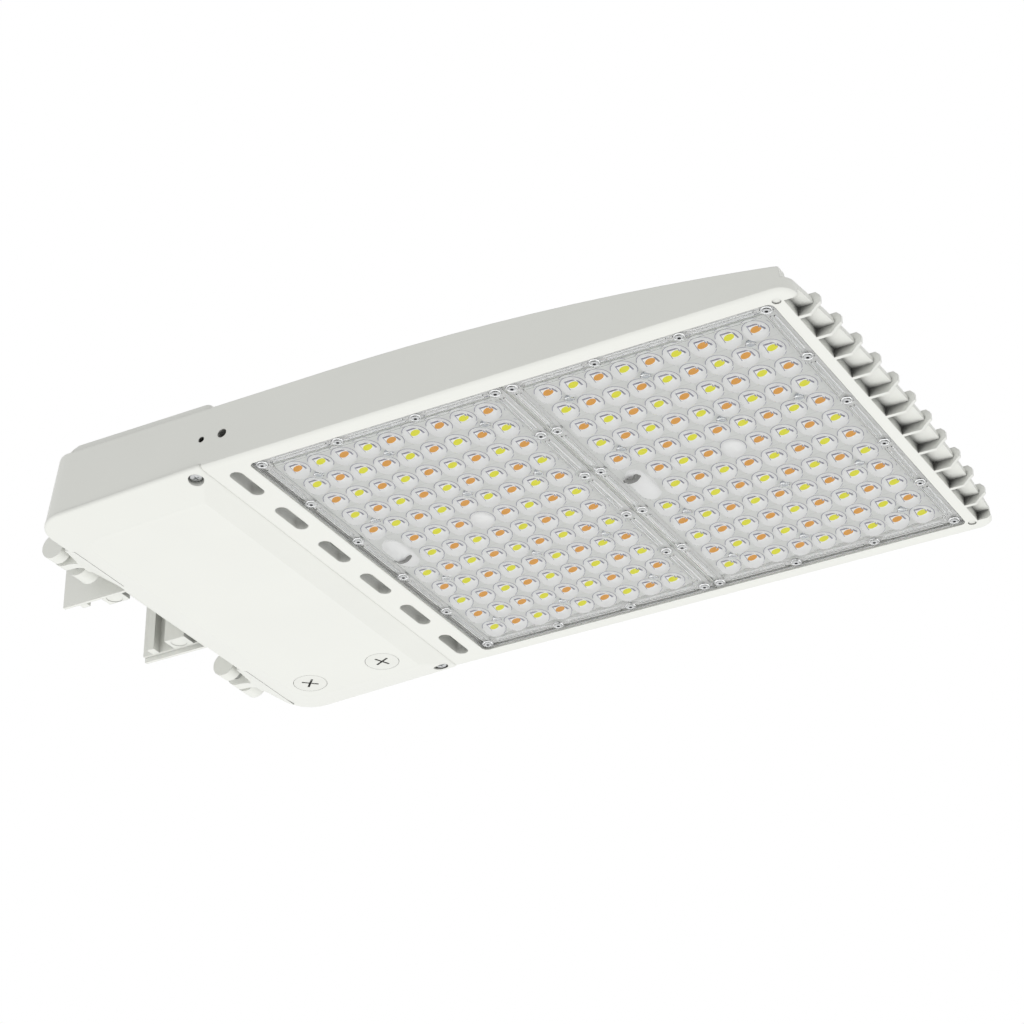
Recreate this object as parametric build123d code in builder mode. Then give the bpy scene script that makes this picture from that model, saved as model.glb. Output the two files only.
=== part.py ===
from build123d import *
import os
from math import cos, radians, sin, sqrt, tan

# A pole-mounted LED area light, in millimetres.
# +X runs from the pole face to the nose, +Y across the light, +Z up.
# The origin is midway between the two pole bolts, on the face that meets the pole.
# Heights are counted from the rim, the flat underside around the lenses.

# Overall lengths along X
arm_length = 52.5
arm_gasket_thickness = 2.0
arm_pad = 2.5
bay_length = 130.5
slot_bar_width = 28.0
nose_bar_width = 7.5
nose_depth = 16.5
nose_bow = 8.5

# Widths and heights of the housing
rim_width = 12.0
pole_bolt_height = 60.0
wall_height = 46.0
wall_end_height = 17.0
wall_end_ahead = 1.5
plate_top = 9.5
plate_floor = 6.0
pilot_depth = 3.0
arch_length = 304.0
side_draft = 7.0
rear_corner = 22.0
nose_corner = 11.0
rim_round = 4.0
rear_slope = 14.0
rear_drop = 5.0

# Driver bay
bay_side_wall = 10.0
bay_rear_wall = 8.0
bay_front_wall = 5.0
bay_roof = 3.0
pocket_depth = 5.0
pocket_rear = 34.5
pocket_to_selector = 7.0
slab_height = 6.0
slab_rear = 17.5
slab_run = 9.0
slab_inset = 7.5
slab_slope = 20.0
pad_length = 11.0
pad_width = 16.0
pad_height = 3.0
pad_inset = 14.0
pad_first = 60.5
pad_pitch = 31.0

# Cooling fins and the nose pockets
fin_count = 11
fin_side_margin = 32.65
fin_thickness = 2.6
fin_drop = 4.0
fin_overhang = 2.5
fin_start = 26.0
fin_round = 4.0
fin_side_wall = 11.0
fin_join = 1.0
nose_pocket_margin = 12.5
channel_gap = 2.0
channel_length = 33.0
channel_depth = 1.0

# Vent slots and side holes
slot_count = 6
slot_side_margin = 15.5
slot_length = 31.0
slot_width = 9.0
slot_from_bay = 14.2
side_hole_height = 22.5
small_hole_radius = 2.1
small_hole_back = 2.5
large_hole_radius = 3.2
large_hole_ahead = 13.0
side_hole_depth = 16.0
mark_radius = 2.7
mark_depth = 0.8
mark_ahead = 3.4
mark_margin = 11.4

# LED boards
led_columns = 9
led_rows = 12
column_pitch = 17.0
row_pitch = 22.0
board_margin = 11.0
board_thickness = 1.6
led_size = 5.0
led_height = 0.7
board_screw_radius = 1.5
board_screw_head = 2.8
board_screw_head_height = 1.2
board_screw_length = 4.4
lead_hole_y = 8.0

# Lens plates
lens_gap = 0.5
lens_edge_gap = 0.6
lens_bottom = 1.0
lens_rim_top = 4.0
lens_middle_top = 3.0
lens_side_border = 11.4
lens_end_border = 11.8
lens_border = 12.5
dome_radius = 7.9
dome_height = 4.5
dome_mid_angle = 22.5
entry_dome_width = 15.0
entry_dome_length = 36.0
lens_screw_inset = 5.45
lens_screw_columns = 4
lens_screw_rows = 6
lens_screw_radius = 1.5
lens_screw_head = 3.0
lens_screw_head_height = 1.6
lens_screw_seat = 3.0
lens_screw_bore = 3.6
lens_screw_length = 5.8
gasket_width = 7.6
gasket_inset = 1.2
screw_play = 0.2
screw_dome_radius = 3.4
screw_dome_height = 1.2
entry_wall = 2.2

# Door of the driver bay, tilted so that it hangs lower at the rear
door_tilt = 2.0
door_line_front = 3.0
door_gap = 0.25
door_lip = 2.2
door_edge_round = 1.6
door_seat = 12.0
door_seat_corner = 28.0
door_depth = 9.5
door_wall = 3.0
door_front_bevel = 15.0
door_side_bevel = 27.0
door_rear_bevel = 20.5
door_flat_corner = 16.0
door_front_corner = 3.0
door_gasket_width = 3.0
door_gasket_depth = 1.5
door_gasket_inset = 4.6
door_gasket_corner = 30.0
door_gasket_gap = 0.1
door_screw_inset_x = 9.0
door_screw_inset_y = 9.0
door_screw_radius = 2.5
door_screw_head = 4.3
door_screw_head_height = 1.8
door_screw_bore = 5.0
door_screw_seat = 1.4
door_screw_reach = 7.0
door_screw_swing = 0.8
retainer_radius = 4.2
retainer_thickness = 0.8
retainer_room = 1.0
post_width = 7.0
post_depth = 10.5
post_height = 13.0

# Plugs in the door over the two selectors
plug_x_rear = 37.7
plug_x_front = 96.4
plug_from_side = 36.0
plug_radius = 11.5
plug_gap = 0.3
plug_flange = 1.6
plug_stem_radius = 8.0
plug_boss_radius = 14.0
plug_boss = 2.5
plug_collar_radius = 9.2
plug_collar = 0.8
seal_inner = 8.8
seal_outer = 10.6
seal_thickness = 0.8
cross_length = 12.0
cross_width = 1.6
cross_depth = 2.4
cross_turns = (45.0, 67.0)

# Hinges of the door
hinge_back = 25.1
hinge_height = 14.2
hinge_near_inset = 54.2
hinge_far_inset = 62.2
hinge_radius = 8.7
hinge_near_spans = ((0.0, 9.0), (12.5, 19.0), (27.0, 41.0))
hinge_far_spans = ((0.0, 10.0), (17.5, 25.5), (28.5, 41.0))
hinge_pin_radius = 4.0
hinge_pin_start = 1.5
hinge_play = 0.08
hinge_web = 6.0

# Aprons from the door's rear edge to its knuckles
apron_lead = 14.0
apron_tail = 20.0
apron_thickness = 3.6
apron_root = 5.0
apron_foot = (5.5, 3.6)
apron_middle = (12.0, 6.9)
apron_rear = (13.5, 9.5, 5.5)

# Mounting arm
arm_half_width = 47.5
arm_wall = 4.5
arm_bottom = 1.6
arm_ledge = 3.4
arm_ledge_wall = 2.2
arm_rear_top = 70.0
arm_front_top = 44.0
arm_web_bottom = 50.0
arm_web = 8.0
arm_top = 4.5
arm_flange = 5.0
arm_rib_thickness = 5.8
arm_rib_depth = 7.0
column_start = 26.3
column_length = 16.4
column_depth = 12.0
column_mark_radius = 5.6
column_mark_depth = 0.4
pole_bolt_spacing = 60.0
pole_bolt_radius = 5.5
arm_bolt_spacing_y = 66.0
arm_bolt_low = 12.0
arm_bolt_high = 36.0
arm_bolt_radius = 3.0
arm_bolt_head = 5.0
arm_bolt_head_height = 4.0
supply_height = 24.0
supply_hole = 11.0
supply_bore = 7.0
supply_collar = 13.5
supply_collar_width = 2.5

# Pieces inside the bay
driver_width = 70.0
driver_height = 36.0
driver_side_gap = 6.0
driver_end_gap = 18.0
driver_from_pocket = 6.0
driver_ear = 10.0
driver_ear_thickness = 3.0
driver_ear_width = 40.0
driver_screw_radius = 2.0
driver_screw_head = 3.6
driver_screw_head_height = 2.4
driver_screw_spread = 26.0
surge_size = (24.0, 60.0, 25.0)
surge_from_side = 46.0
surge_from_rear = 4.0
terminal_size = (22.0, 50.0, 18.0)
terminal_y = 45.0
terminal_from_rear = 4.0
terminal_poles = 3
terminal_pole_pitch = 14.0
terminal_screw_radius = 2.6
terminal_screw_depth = 5.0
input_lead_radius = 1.3
selector_box_width = 30.0
selector_box_height = 30.0
selector_box_margin = 14.0
selector_radius = 7.0
selector_height = 7.0
selector_stem_radius = 3.0
selector_stem = 5.0
selector_play = 0.06
selector_slot = 1.6
selector_slot_depth = 2.0
ground_x = 20.0
ground_y = -45.0
ground_screw_radius = 2.0
ground_screw_head = 4.0
ground_screw_head_height = 3.0
ground_screw_reach = 2.0

# LED leads, their glands in the bay's front wall and grommets in the plate
lead_radius = 2.5
lead_height = 22.0
lead_low = 17.5
lead_bend = 5.0
lead_drop_start = 14.0
lead_drop_run = 20.0
lead_end = 2.2
gland_radius = 5.0
gland_collar = 7.0
gland_collar_width = 6.0
gland_nut_width = 4.0
grommet_radius = 4.5
grommet_collar = 6.5
grommet_collar_height = 2.0

# Places worked out from the sizes above
rim_z = -pole_bolt_height
pad_face_x = arm_length + arm_gasket_thickness
bay_rear_x = pad_face_x + arm_pad
bay_front_x = bay_rear_x + bay_length
lens_length = led_columns * column_pitch + 2 * lens_end_border
lens_width = led_rows * row_pitch + 2 * lens_side_border
recess_length = 2 * lens_length + lens_gap + 2 * lens_edge_gap
recess_width = lens_width + 2 * lens_edge_gap
recess_rear_x = bay_front_x + slot_bar_width
recess_nose_x = recess_rear_x + recess_length
nose_bar_x = recess_nose_x + nose_bar_width
nose_x = nose_bar_x + nose_depth
nose_end_x = nose_x - nose_bow
head_width = recess_width + 2 * rim_width
half_width = head_width / 2
wall_end_x = nose_bar_x + wall_end_ahead
arch_start_x = wall_end_x - arch_length
nose_radius = (half_width**2 + nose_bow**2) / (2 * nose_bow)
bay_inside_half = half_width - bay_side_wall
bay_inside_rear = bay_rear_x + bay_rear_wall
bay_inside_front = bay_front_x - bay_front_wall
bay_ceiling = wall_height - bay_roof
pocket_ceiling = bay_ceiling + pocket_depth
pocket_rear_x = bay_rear_x + pocket_rear
fin_start_x = bay_front_x + fin_start
nose_pocket_half = half_width - nose_pocket_margin
fin_pitch = (head_width - 2 * fin_side_margin) / (fin_count - 1)
slot_pitch = (head_width - 2 * slot_side_margin - slot_length) / (slot_count - 1)
mark_y = half_width - mark_margin
board_names = ("rear", "front")
first_column = -(led_columns - 1) / 2 * column_pitch
first_row = -(led_rows - 1) / 2 * row_pitch
middle_rows = (led_rows // 2 - 1, led_rows // 2)
blank_place = (led_columns // 2, led_rows // 2 - 1)
board_bottom = plate_floor - board_thickness
entry_room_length = entry_dome_length - 2 * entry_wall
entry_room_width = entry_dome_width - 2 * entry_wall
lens_screw_pitch_x = (lens_length - 2 * lens_screw_inset) / (lens_screw_columns - 1)
lens_screw_pitch_y = (lens_width - 2 * lens_screw_inset) / (lens_screw_rows - 1)
lens_centres = (
    recess_rear_x + lens_edge_gap + lens_length / 2,
    recess_nose_x - lens_edge_gap - lens_length / 2,
)
hinge_x = bay_rear_x - hinge_back
hinges = (
    (hinge_near_inset - half_width, hinge_near_spans),
    (half_width - hinge_far_inset, hinge_far_spans),
)
door_screw_x = bay_front_x - door_screw_inset_x
door_screw_y = half_width - door_screw_inset_y
plug_places = (bay_rear_x + plug_x_rear, bay_rear_x + plug_x_front)
plug_y = bay_inside_half - plug_from_side
pocket_far_y = plug_y - selector_box_width / 2 - pocket_to_selector
driver_near_y = driver_side_gap - bay_inside_half
driver_far_y = pocket_far_y - driver_end_gap
driver_length = driver_far_y - driver_near_y - 2 * driver_ear
driver_y = (driver_near_y + driver_far_y) / 2
surge_y = surge_from_side - bay_inside_half
driver_rear_x = pocket_rear_x + driver_from_pocket
driver_x = driver_rear_x + driver_width / 2
driver_bottom = pocket_ceiling - driver_height


def level(height):
    """Horizontal work plane at a height above the rim."""
    return Plane.XY.offset(rim_z + height)


def across(y):
    """Upright work plane along the light at a place across it."""
    return Plane.XZ.offset(-y)


def up(x, height):
    """A point of an upright sketch, with its height counted from the rim."""
    return (x, rim_z + height)


def door_line(x):
    """Height of the line where the door meets the housing."""
    return door_line_front + (x - bay_front_x) * tan(radians(door_tilt))


def nose_edge(y):
    """How far the nose reaches at a place across it."""
    return nose_x - nose_radius + sqrt(nose_radius**2 - y**2)


def led_places(centre_x):
    """Column, row and place of every LED of one board."""
    places = []
    for column in range(led_columns):
        for row in range(led_rows):
            entry = column == 0 and row in middle_rows
            if entry or (column, row) == blank_place:
                continue
            x = centre_x + first_column + column * column_pitch
            y = first_row + row * row_pitch
            places.append((column, row, (x, y)))
    return places


def board_screw_places(centre_x):
    """Screws of one board, midway between four LEDs."""
    places = []
    for row in (0, 3, 7, 10):
        inner = 3 if row in (0, 10) else 4
        for column in (0, inner, 7):
            x = centre_x + first_column + (column + 0.5) * column_pitch
            y = first_row + (row + 0.5) * row_pitch
            places.append((x, y))
    return places


def lens_screw_places(centre_x):
    """Screws around the edge of one lens plate."""
    places = []
    for column in range(lens_screw_columns):
        for row in range(lens_screw_rows):
            if 0 < column < lens_screw_columns - 1 and 0 < row < lens_screw_rows - 1:
                continue
            x = centre_x + (column - (lens_screw_columns - 1) / 2) * lens_screw_pitch_x
            y = (row - (lens_screw_rows - 1) / 2) * lens_screw_pitch_y
            places.append((x, y))
    return places


# The door's own plane follows the line where it meets the housing
door_plane = Plane(
    origin=(bay_front_x, 0, rim_z + door_line_front),
    x_dir=(cos(radians(door_tilt)), 0, sin(radians(door_tilt))),
    z_dir=(-sin(radians(door_tilt)), 0, cos(radians(door_tilt))),
)


def on_door(x, y):
    """Place on the door's plane below a point of the bay."""
    return ((x - bay_front_x) / cos(radians(door_tilt)), y)


entry_places = [(x + first_column, 0) for x in lens_centres]
lead_places = [(entry_places[0][0], lead_hole_y), (entry_places[1][0], -lead_hole_y)]
lens_screws_at = [lens_screw_places(x) for x in lens_centres]
board_screws_at = [board_screw_places(x) for x in lens_centres]
door_screws_at = [(door_screw_x, -door_screw_y), (door_screw_x, door_screw_y)]
arm_bolts_at = [
    (y, rim_z + height)
    for y in (-arm_bolt_spacing_y / 2, arm_bolt_spacing_y / 2)
    for height in (arm_bolt_low, arm_bolt_high)
]
driver_screws_at = [
    (driver_x + dx, driver_y + dy)
    for dx in (-driver_screw_spread / 2, driver_screw_spread / 2)
    for dy in (-(driver_length + driver_ear) / 2, (driver_length + driver_ear) / 2)
]
ground_at = (bay_rear_x + ground_x, ground_y)
parts = []


# Rounded lower edges of the casting: one upright block over the lenses, one tilted with the door
with BuildPart() as head_block:
    with BuildSketch(level(0)) as plan:
        with BuildLine():
            ThreePointArc((nose_end_x, -half_width), (nose_x, 0), (nose_end_x, half_width))
            Polyline(
                (nose_end_x, half_width),
                (bay_front_x, half_width),
                (bay_front_x, -half_width),
                (nose_end_x, -half_width),
            )
        make_face()
        fillet(plan.vertices().group_by(Axis.X)[-1], nose_corner)
    extrude(amount=wall_height)
    lower_edges = head_block.faces().sort_by(Axis.Z)[0].edges().sort_by(Axis.X)[1:]
    fillet(lower_edges, rim_round)
with BuildPart() as bay_block:
    with BuildSketch(door_plane) as plan:
        with Locations((-bay_length / 2 / cos(radians(door_tilt)), 0)):
            Rectangle(bay_length / cos(radians(door_tilt)), head_width)
        fillet(plan.vertices().group_by(Axis.X)[0], rear_corner)
    extrude(amount=wall_height + rim_round)
    extrude(bay_block.faces().sort_by(Axis.X)[-1], amount=bay_front_wall)

# Main housing: a drafted casting with arched side walls, cooling fins and the driver bay
with BuildPart() as main_housing:
    with BuildSketch(level(-rim_round)) as plan:
        with BuildLine():
            ThreePointArc((nose_end_x, -half_width), (nose_x, 0), (nose_end_x, half_width))
            Polyline(
                (nose_end_x, half_width),
                (bay_rear_x, half_width),
                (bay_rear_x, -half_width),
                (nose_end_x, -half_width),
            )
        make_face()
        fillet(plan.vertices().group_by(Axis.X)[0], rear_corner)
        fillet(plan.vertices().group_by(Axis.X)[-1], nose_corner)
    extrude(amount=wall_height + 2 * rim_round, taper=side_draft)
    add(head_block.part + bay_block.part, mode=Mode.INTERSECT)

    # Side view: rear slope, arched top and the low nose
    with BuildSketch(Plane.XZ):
        with BuildLine():
            before = bay_rear_x - rear_slope
            beyond = nose_x + nose_depth
            Polyline(
                up(arch_start_x, wall_height),
                up(bay_rear_x + rear_slope, wall_height),
                up(before, wall_height - 2 * rear_drop),
                up(before, -door_depth),
                up(beyond, -door_depth),
                up(beyond, plate_top),
                up(wall_end_x + fin_join, plate_top),
                up(wall_end_x, wall_end_height),
            )
            TangentArc(up(arch_start_x, wall_height), up(wall_end_x, wall_end_height), tangent=(1, 0))
        make_face()
    extrude(amount=head_width, both=True, mode=Mode.INTERSECT)

    # Raised roof slab over the bay, with two low pads along each side
    slab_rear_x = bay_rear_x + slab_rear
    with BuildSketch(level(wall_height)) as slab:
        with Locations(((slab_rear_x + bay_front_x) / 2, 0)):
            Rectangle(bay_front_x - slab_rear_x, head_width - 2 * slab_inset)
        fillet(slab.vertices(), nose_corner / 2)
    extrude(amount=slab_height, taper=slab_slope)
    with BuildSketch(Plane.XZ):
        with BuildLine():
            Polyline(
                up(slab_rear_x, wall_height),
                up(slab_rear_x, wall_height + 2 * slab_height),
                up(slab_rear_x + 2 * slab_run, wall_height + 2 * slab_height),
                close=True,
            )
        make_face()
    extrude(amount=half_width, both=True, mode=Mode.SUBTRACT)
    with BuildSketch(level(wall_height + slab_height)):
        for place in (pad_first, pad_first + pad_pitch):
            with Locations((bay_rear_x + place, -half_width + slab_inset + pad_inset)):
                RectangleRounded(pad_length, pad_width, pad_length / 3)
            with Locations((bay_rear_x + place, half_width - slab_inset - pad_inset)):
                RectangleRounded(pad_length, pad_width, pad_length / 3)
    extrude(amount=pad_height, taper=slab_slope)

    # Field of the fins, open to the sky, with an air channel behind the bay's front wall
    channel_x = bay_front_x + channel_gap
    field_length = nose_x + nose_depth - channel_x
    with BuildSketch(level(plate_top)):
        with Locations((channel_x + field_length / 2, 0)):
            Rectangle(field_length, head_width - 2 * fin_side_wall)
    extrude(amount=wall_height, mode=Mode.SUBTRACT)
    with BuildSketch(level(plate_top)):
        with Locations((channel_x + channel_length / 2, 0)):
            Rectangle(channel_length, head_width - 2 * fin_side_wall)
    extrude(amount=-channel_depth, mode=Mode.SUBTRACT)

    # Recess for the boards and lenses, and the pockets under the nose
    with BuildSketch(level(0)):
        with Locations(((recess_rear_x + recess_nose_x) / 2, 0)):
            RectangleRounded(recess_length, recess_width, rim_round)
        with Locations((nose_bar_x + nose_depth, 0)):
            Rectangle(2 * nose_depth, 2 * nose_pocket_half)
    extrude(amount=plate_floor, mode=Mode.SUBTRACT)

    # Fins run from the air channel to the nose and wrap under it as ribs
    for index in range(fin_count):
        fin_y = (index - (fin_count - 1) / 2) * fin_pitch
        end_x = nose_edge(fin_y) + fin_overhang
        with BuildSketch(across(fin_y)):
            with BuildLine():
                Polyline(
                    up(arch_start_x, wall_height - fin_drop),
                    up(fin_start_x + wall_height - fin_drop, wall_height - fin_drop),
                    up(fin_start_x, plate_floor + fin_join),
                    up(nose_bar_x - fin_join, plate_floor + fin_join),
                    up(nose_bar_x - fin_join, 0),
                    up(end_x - fin_overhang - fin_round, 0),
                    up(end_x - fin_overhang, fin_round),
                    up(end_x, plate_floor),
                    up(end_x, plate_top + fin_join),
                    up(end_x - fin_overhang, wall_end_height - fin_drop),
                    up(wall_end_x, wall_end_height - fin_drop),
                )
                TangentArc(
                    up(arch_start_x, wall_height - fin_drop),
                    up(wall_end_x, wall_end_height - fin_drop),
                    tangent=(1, 0),
                )
            make_face()
        extrude(amount=fin_thickness / 2, both=True)

    # Hollow of the driver bay, deeper under the slab
    with BuildSketch(level(-rim_round - door_depth)):
        with Locations(((bay_inside_rear + bay_inside_front) / 2, 0)):
            RectangleRounded(bay_inside_front - bay_inside_rear, 2 * bay_inside_half, rear_corner / 2)
    extrude(amount=bay_ceiling + rim_round + door_depth, mode=Mode.SUBTRACT)
    pocket_near_y = -bay_inside_half + rim_round
    with BuildSketch(level(bay_ceiling)):
        with Locations(((pocket_rear_x + bay_inside_front) / 2, (pocket_near_y + pocket_far_y) / 2)):
            RectangleRounded(bay_inside_front - pocket_rear_x, pocket_far_y - pocket_near_y, rim_round)
    extrude(amount=pocket_depth, mode=Mode.SUBTRACT)

    # Corner posts that take the door's screws, with room for the screws to swing out
    with BuildSketch(door_plane):
        for x, y in door_screws_at:
            side = 1 if y > 0 else -1
            with Locations(on_door((x - post_width + bay_front_x) / 2, y - side * post_width / 4)):
                Rectangle(bay_front_x - x + post_width, post_depth)
    extrude(amount=post_height)
    with BuildSketch(door_plane):
        with Locations([on_door(x, y) for x, y in door_screws_at]):
            Circle(door_screw_radius + door_screw_swing)
    extrude(amount=door_screw_reach + retainer_room, both=True, mode=Mode.SUBTRACT)
    with BuildSketch(door_plane):
        with Locations([on_door(x, y) for x, y in door_screws_at]):
            Circle(retainer_radius + door_screw_swing)
    extrude(amount=retainer_thickness + retainer_room, both=True, mode=Mode.SUBTRACT)

    # Flat pad for the mounting arm on the bay's rear wall
    with BuildSketch(Plane.YZ.offset(pad_face_x)):
        with Locations((0, rim_z + (arm_bottom + arm_front_top) / 2)):
            Rectangle(2 * arm_half_width, arm_front_top - arm_bottom)
    extrude(amount=arm_pad + bay_rear_wall)

    # Two hinge ears behind the bay for each pin, one on either side of the door's knuckle
    for start, (first_ear, knuckle, second_ear) in hinges:
        for low, high in (first_ear, second_ear):
            with BuildSketch(across(start + low)):
                with Locations(up(hinge_x, hinge_height)):
                    Circle(hinge_radius)
                with BuildLine():
                    Polyline(
                        up(hinge_x, hinge_height),
                        up(bay_rear_x + hinge_web, hinge_height),
                        up(bay_rear_x + hinge_web, hinge_height + hinge_radius + hinge_web),
                        up(hinge_x, hinge_height + hinge_radius),
                        close=True,
                    )
                make_face()
            extrude(amount=low - high)
        with BuildSketch(across(start + hinge_pin_start)):
            with Locations(up(hinge_x, hinge_height)):
                Circle(hinge_pin_radius)
        extrude(amount=hinge_pin_start - second_ear[1], mode=Mode.SUBTRACT)

    # Vent slots
    with BuildSketch(level(0)):
        with Locations((bay_front_x + slot_from_bay, 0)):
            with GridLocations(0, slot_pitch, 1, slot_count):
                SlotOverall(slot_length, slot_width, rotation=90)
    extrude(amount=plate_top + fin_join, mode=Mode.SUBTRACT)

    # Two holes in each side wall, and a shallow round mark at each nose corner
    for side in (-1, 1):
        with BuildSketch(across(side * half_width)):
            with Locations(up(bay_front_x - small_hole_back, side_hole_height)):
                Circle(small_hole_radius)
            with Locations(up(bay_front_x + large_hole_ahead, side_hole_height)):
                Circle(large_hole_radius)
        extrude(amount=side * side_hole_depth, mode=Mode.SUBTRACT)
    with BuildSketch(level(0)):
        with Locations((recess_nose_x + mark_ahead, -mark_y), (recess_nose_x + mark_ahead, mark_y)):
            Circle(mark_radius)
    extrude(amount=mark_depth, mode=Mode.SUBTRACT)

    # Pilot holes of the lens and board screws, and holes for the LED leads
    with BuildSketch(level(plate_floor)):
        with Locations(lens_screws_at[0] + lens_screws_at[1]):
            Circle(lens_screw_radius)
        with Locations(board_screws_at[0] + board_screws_at[1]):
            Circle(board_screw_radius)
    extrude(amount=pilot_depth, mode=Mode.SUBTRACT)
    with BuildSketch(level(plate_floor)):
        with Locations(lead_places):
            Circle(grommet_radius)
    extrude(amount=plate_top - plate_floor + fin_join, mode=Mode.SUBTRACT)

    # Holes in the bay's walls: LED leads, supply, arm bolts, driver and ground screws
    with BuildSketch(Plane.YZ.offset(bay_inside_front)):
        with Locations([(y, rim_z + lead_height) for x, y in lead_places]):
            Circle(gland_radius)
    extrude(amount=bay_front_wall + channel_gap + fin_join, mode=Mode.SUBTRACT)
    with BuildSketch(Plane.YZ.offset(pad_face_x)):
        with Locations((0, rim_z + supply_height)):
            Circle(supply_hole)
        with Locations(arm_bolts_at):
            Circle(arm_bolt_radius)
    extrude(amount=arm_pad + bay_rear_wall, mode=Mode.SUBTRACT)
    with BuildSketch(level(pocket_ceiling)):
        with Locations(driver_screws_at):
            Circle(driver_screw_radius)
    extrude(amount=bay_roof, mode=Mode.SUBTRACT)
    with BuildSketch(level(bay_ceiling)):
        with Locations(ground_at):
            Circle(ground_screw_radius)
    extrude(amount=ground_screw_reach, mode=Mode.SUBTRACT)
parts.append(("main_housing", main_housing))

# LED boards, their LEDs in two colours, screws, gaskets and lens plates
for name, lens_x in zip(board_names, lens_centres):
    index = board_names.index(name)
    board_length = (led_columns - 1) * column_pitch + 2 * board_margin
    board_width = (led_rows - 1) * row_pitch + 2 * board_margin
    with BuildPart() as led_board:
        with BuildSketch(level(board_bottom)):
            with Locations((lens_x, 0)):
                RectangleRounded(board_length, board_width, board_margin / 4)
            with Locations(board_screws_at[index]):
                Circle(board_screw_radius + screw_play / 2, mode=Mode.SUBTRACT)
            with Locations(lead_places[index]):
                Circle(grommet_radius, mode=Mode.SUBTRACT)
        extrude(amount=board_thickness)
    parts.append((f"led_board_{name}", led_board))

    # Cool and warm LEDs alternate like the fields of a chessboard
    for tone, remainder in (("cool", 1), ("warm", 0)):
        with BuildPart() as leds:
            with BuildSketch(level(board_bottom - led_height)):
                places = led_places(lens_x)
                with Locations([at for column, row, at in places if (column + row) % 2 == remainder]):
                    Rectangle(led_size, led_size)
            extrude(amount=led_height)
        parts.append((f"leds_{tone}_{name}", leds))

    with BuildPart() as board_screws:
        with BuildSketch(level(board_bottom)):
            with Locations(board_screws_at[index]):
                Circle(board_screw_head)
        extrude(amount=-board_screw_head_height)
        with BuildSketch(level(board_bottom)):
            with Locations(board_screws_at[index]):
                Circle(board_screw_radius)
        extrude(amount=board_screw_length)
    parts.append((f"board_screws_{name}", board_screws))

    with BuildPart() as lens_gasket:
        with BuildSketch(level(lens_rim_top)):
            with Locations((lens_x, 0)):
                outer = 2 * gasket_inset
                inner = outer + 2 * gasket_width
                RectangleRounded(lens_length - outer, lens_width - outer, rim_round / 2)
                Rectangle(lens_length - inner, lens_width - inner, mode=Mode.SUBTRACT)
            with Locations(lens_screws_at[index]):
                Circle(lens_screw_radius + screw_play, mode=Mode.SUBTRACT)
        extrude(amount=plate_floor - lens_rim_top)
    parts.append((f"lens_gasket_{name}", lens_gasket))

    # One dome of the lens plate, standing on its underside and pointing down
    cap_radius = (dome_radius**2 + dome_height**2) / (2 * dome_height)
    with BuildPart() as dome:
        with BuildSketch(Plane.XZ):
            with BuildLine():
                top = (0, -dome_height)
                half_way = radians(dome_mid_angle)
                middle = (
                    cap_radius * sin(half_way),
                    cap_radius * (1 - cos(half_way)) - dome_height,
                )
                ThreePointArc(top, middle, (dome_radius, 0))
                Polyline((dome_radius, 0), (dome_radius, lens_bottom / 2), (0, lens_bottom / 2), top)
            make_face()
        revolve(axis=Axis.Z)
    with BuildPart() as lens_plate:
        with BuildSketch(level(lens_bottom)):
            with Locations((lens_x, 0)):
                RectangleRounded(lens_length, lens_width, rim_round - lens_edge_gap)
        extrude(amount=lens_rim_top - lens_bottom)
        with BuildSketch(level(lens_middle_top)):
            with Locations((lens_x, 0)):
                Rectangle(lens_length - 2 * lens_border, lens_width - 2 * lens_border)
        extrude(amount=lens_rim_top - lens_middle_top, mode=Mode.SUBTRACT)
        blank_x = lens_x + first_column + blank_place[0] * column_pitch
        blank = (blank_x, first_row + blank_place[1] * row_pitch)
        dome_places = [at for column, row, at in led_places(lens_x)] + [blank]
        with Locations([(x, y, rim_z + lens_bottom) for x, y in dome_places]):
            add(dome.part)

        # Hollow blister over the place where the lead comes through the board
        with BuildSketch(level(lens_bottom)):
            with Locations(entry_places[index]):
                SlotOverall(entry_dome_length, entry_dome_width, rotation=90)
        extrude(amount=-dome_height)
        with BuildSketch(level(lens_middle_top)):
            with Locations(entry_places[index]):
                SlotOverall(entry_room_length, entry_room_width, rotation=90)
        extrude(amount=lens_bottom - lens_middle_top - dome_height + entry_wall, mode=Mode.SUBTRACT)

        # Small domes under the board screws, and the holes of the lens screws
        with BuildSketch(level(lens_bottom)):
            with Locations(board_screws_at[index]):
                Circle(screw_dome_radius)
        extrude(amount=-screw_dome_height, taper=side_draft)
        with BuildSketch(level(lens_bottom)):
            with Locations(lens_screws_at[index]):
                Circle(lens_screw_bore)
        extrude(amount=lens_screw_seat - lens_bottom, mode=Mode.SUBTRACT)
        with BuildSketch(level(lens_bottom)):
            with Locations(lens_screws_at[index]):
                Circle(lens_screw_radius + screw_play)
        extrude(amount=lens_rim_top - lens_bottom, mode=Mode.SUBTRACT)
    parts.append((f"lens_plate_{name}", lens_plate))

    with BuildPart() as lens_screws:
        with BuildSketch(level(lens_screw_seat)):
            with Locations(lens_screws_at[index]):
                Circle(lens_screw_head)
        extrude(amount=-lens_screw_head_height)
        with BuildSketch(level(lens_screw_seat)):
            with Locations(lens_screws_at[index]):
                Circle(lens_screw_radius)
        extrude(amount=lens_screw_length)
    parts.append((f"lens_screws_{name}", lens_screws))

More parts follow.
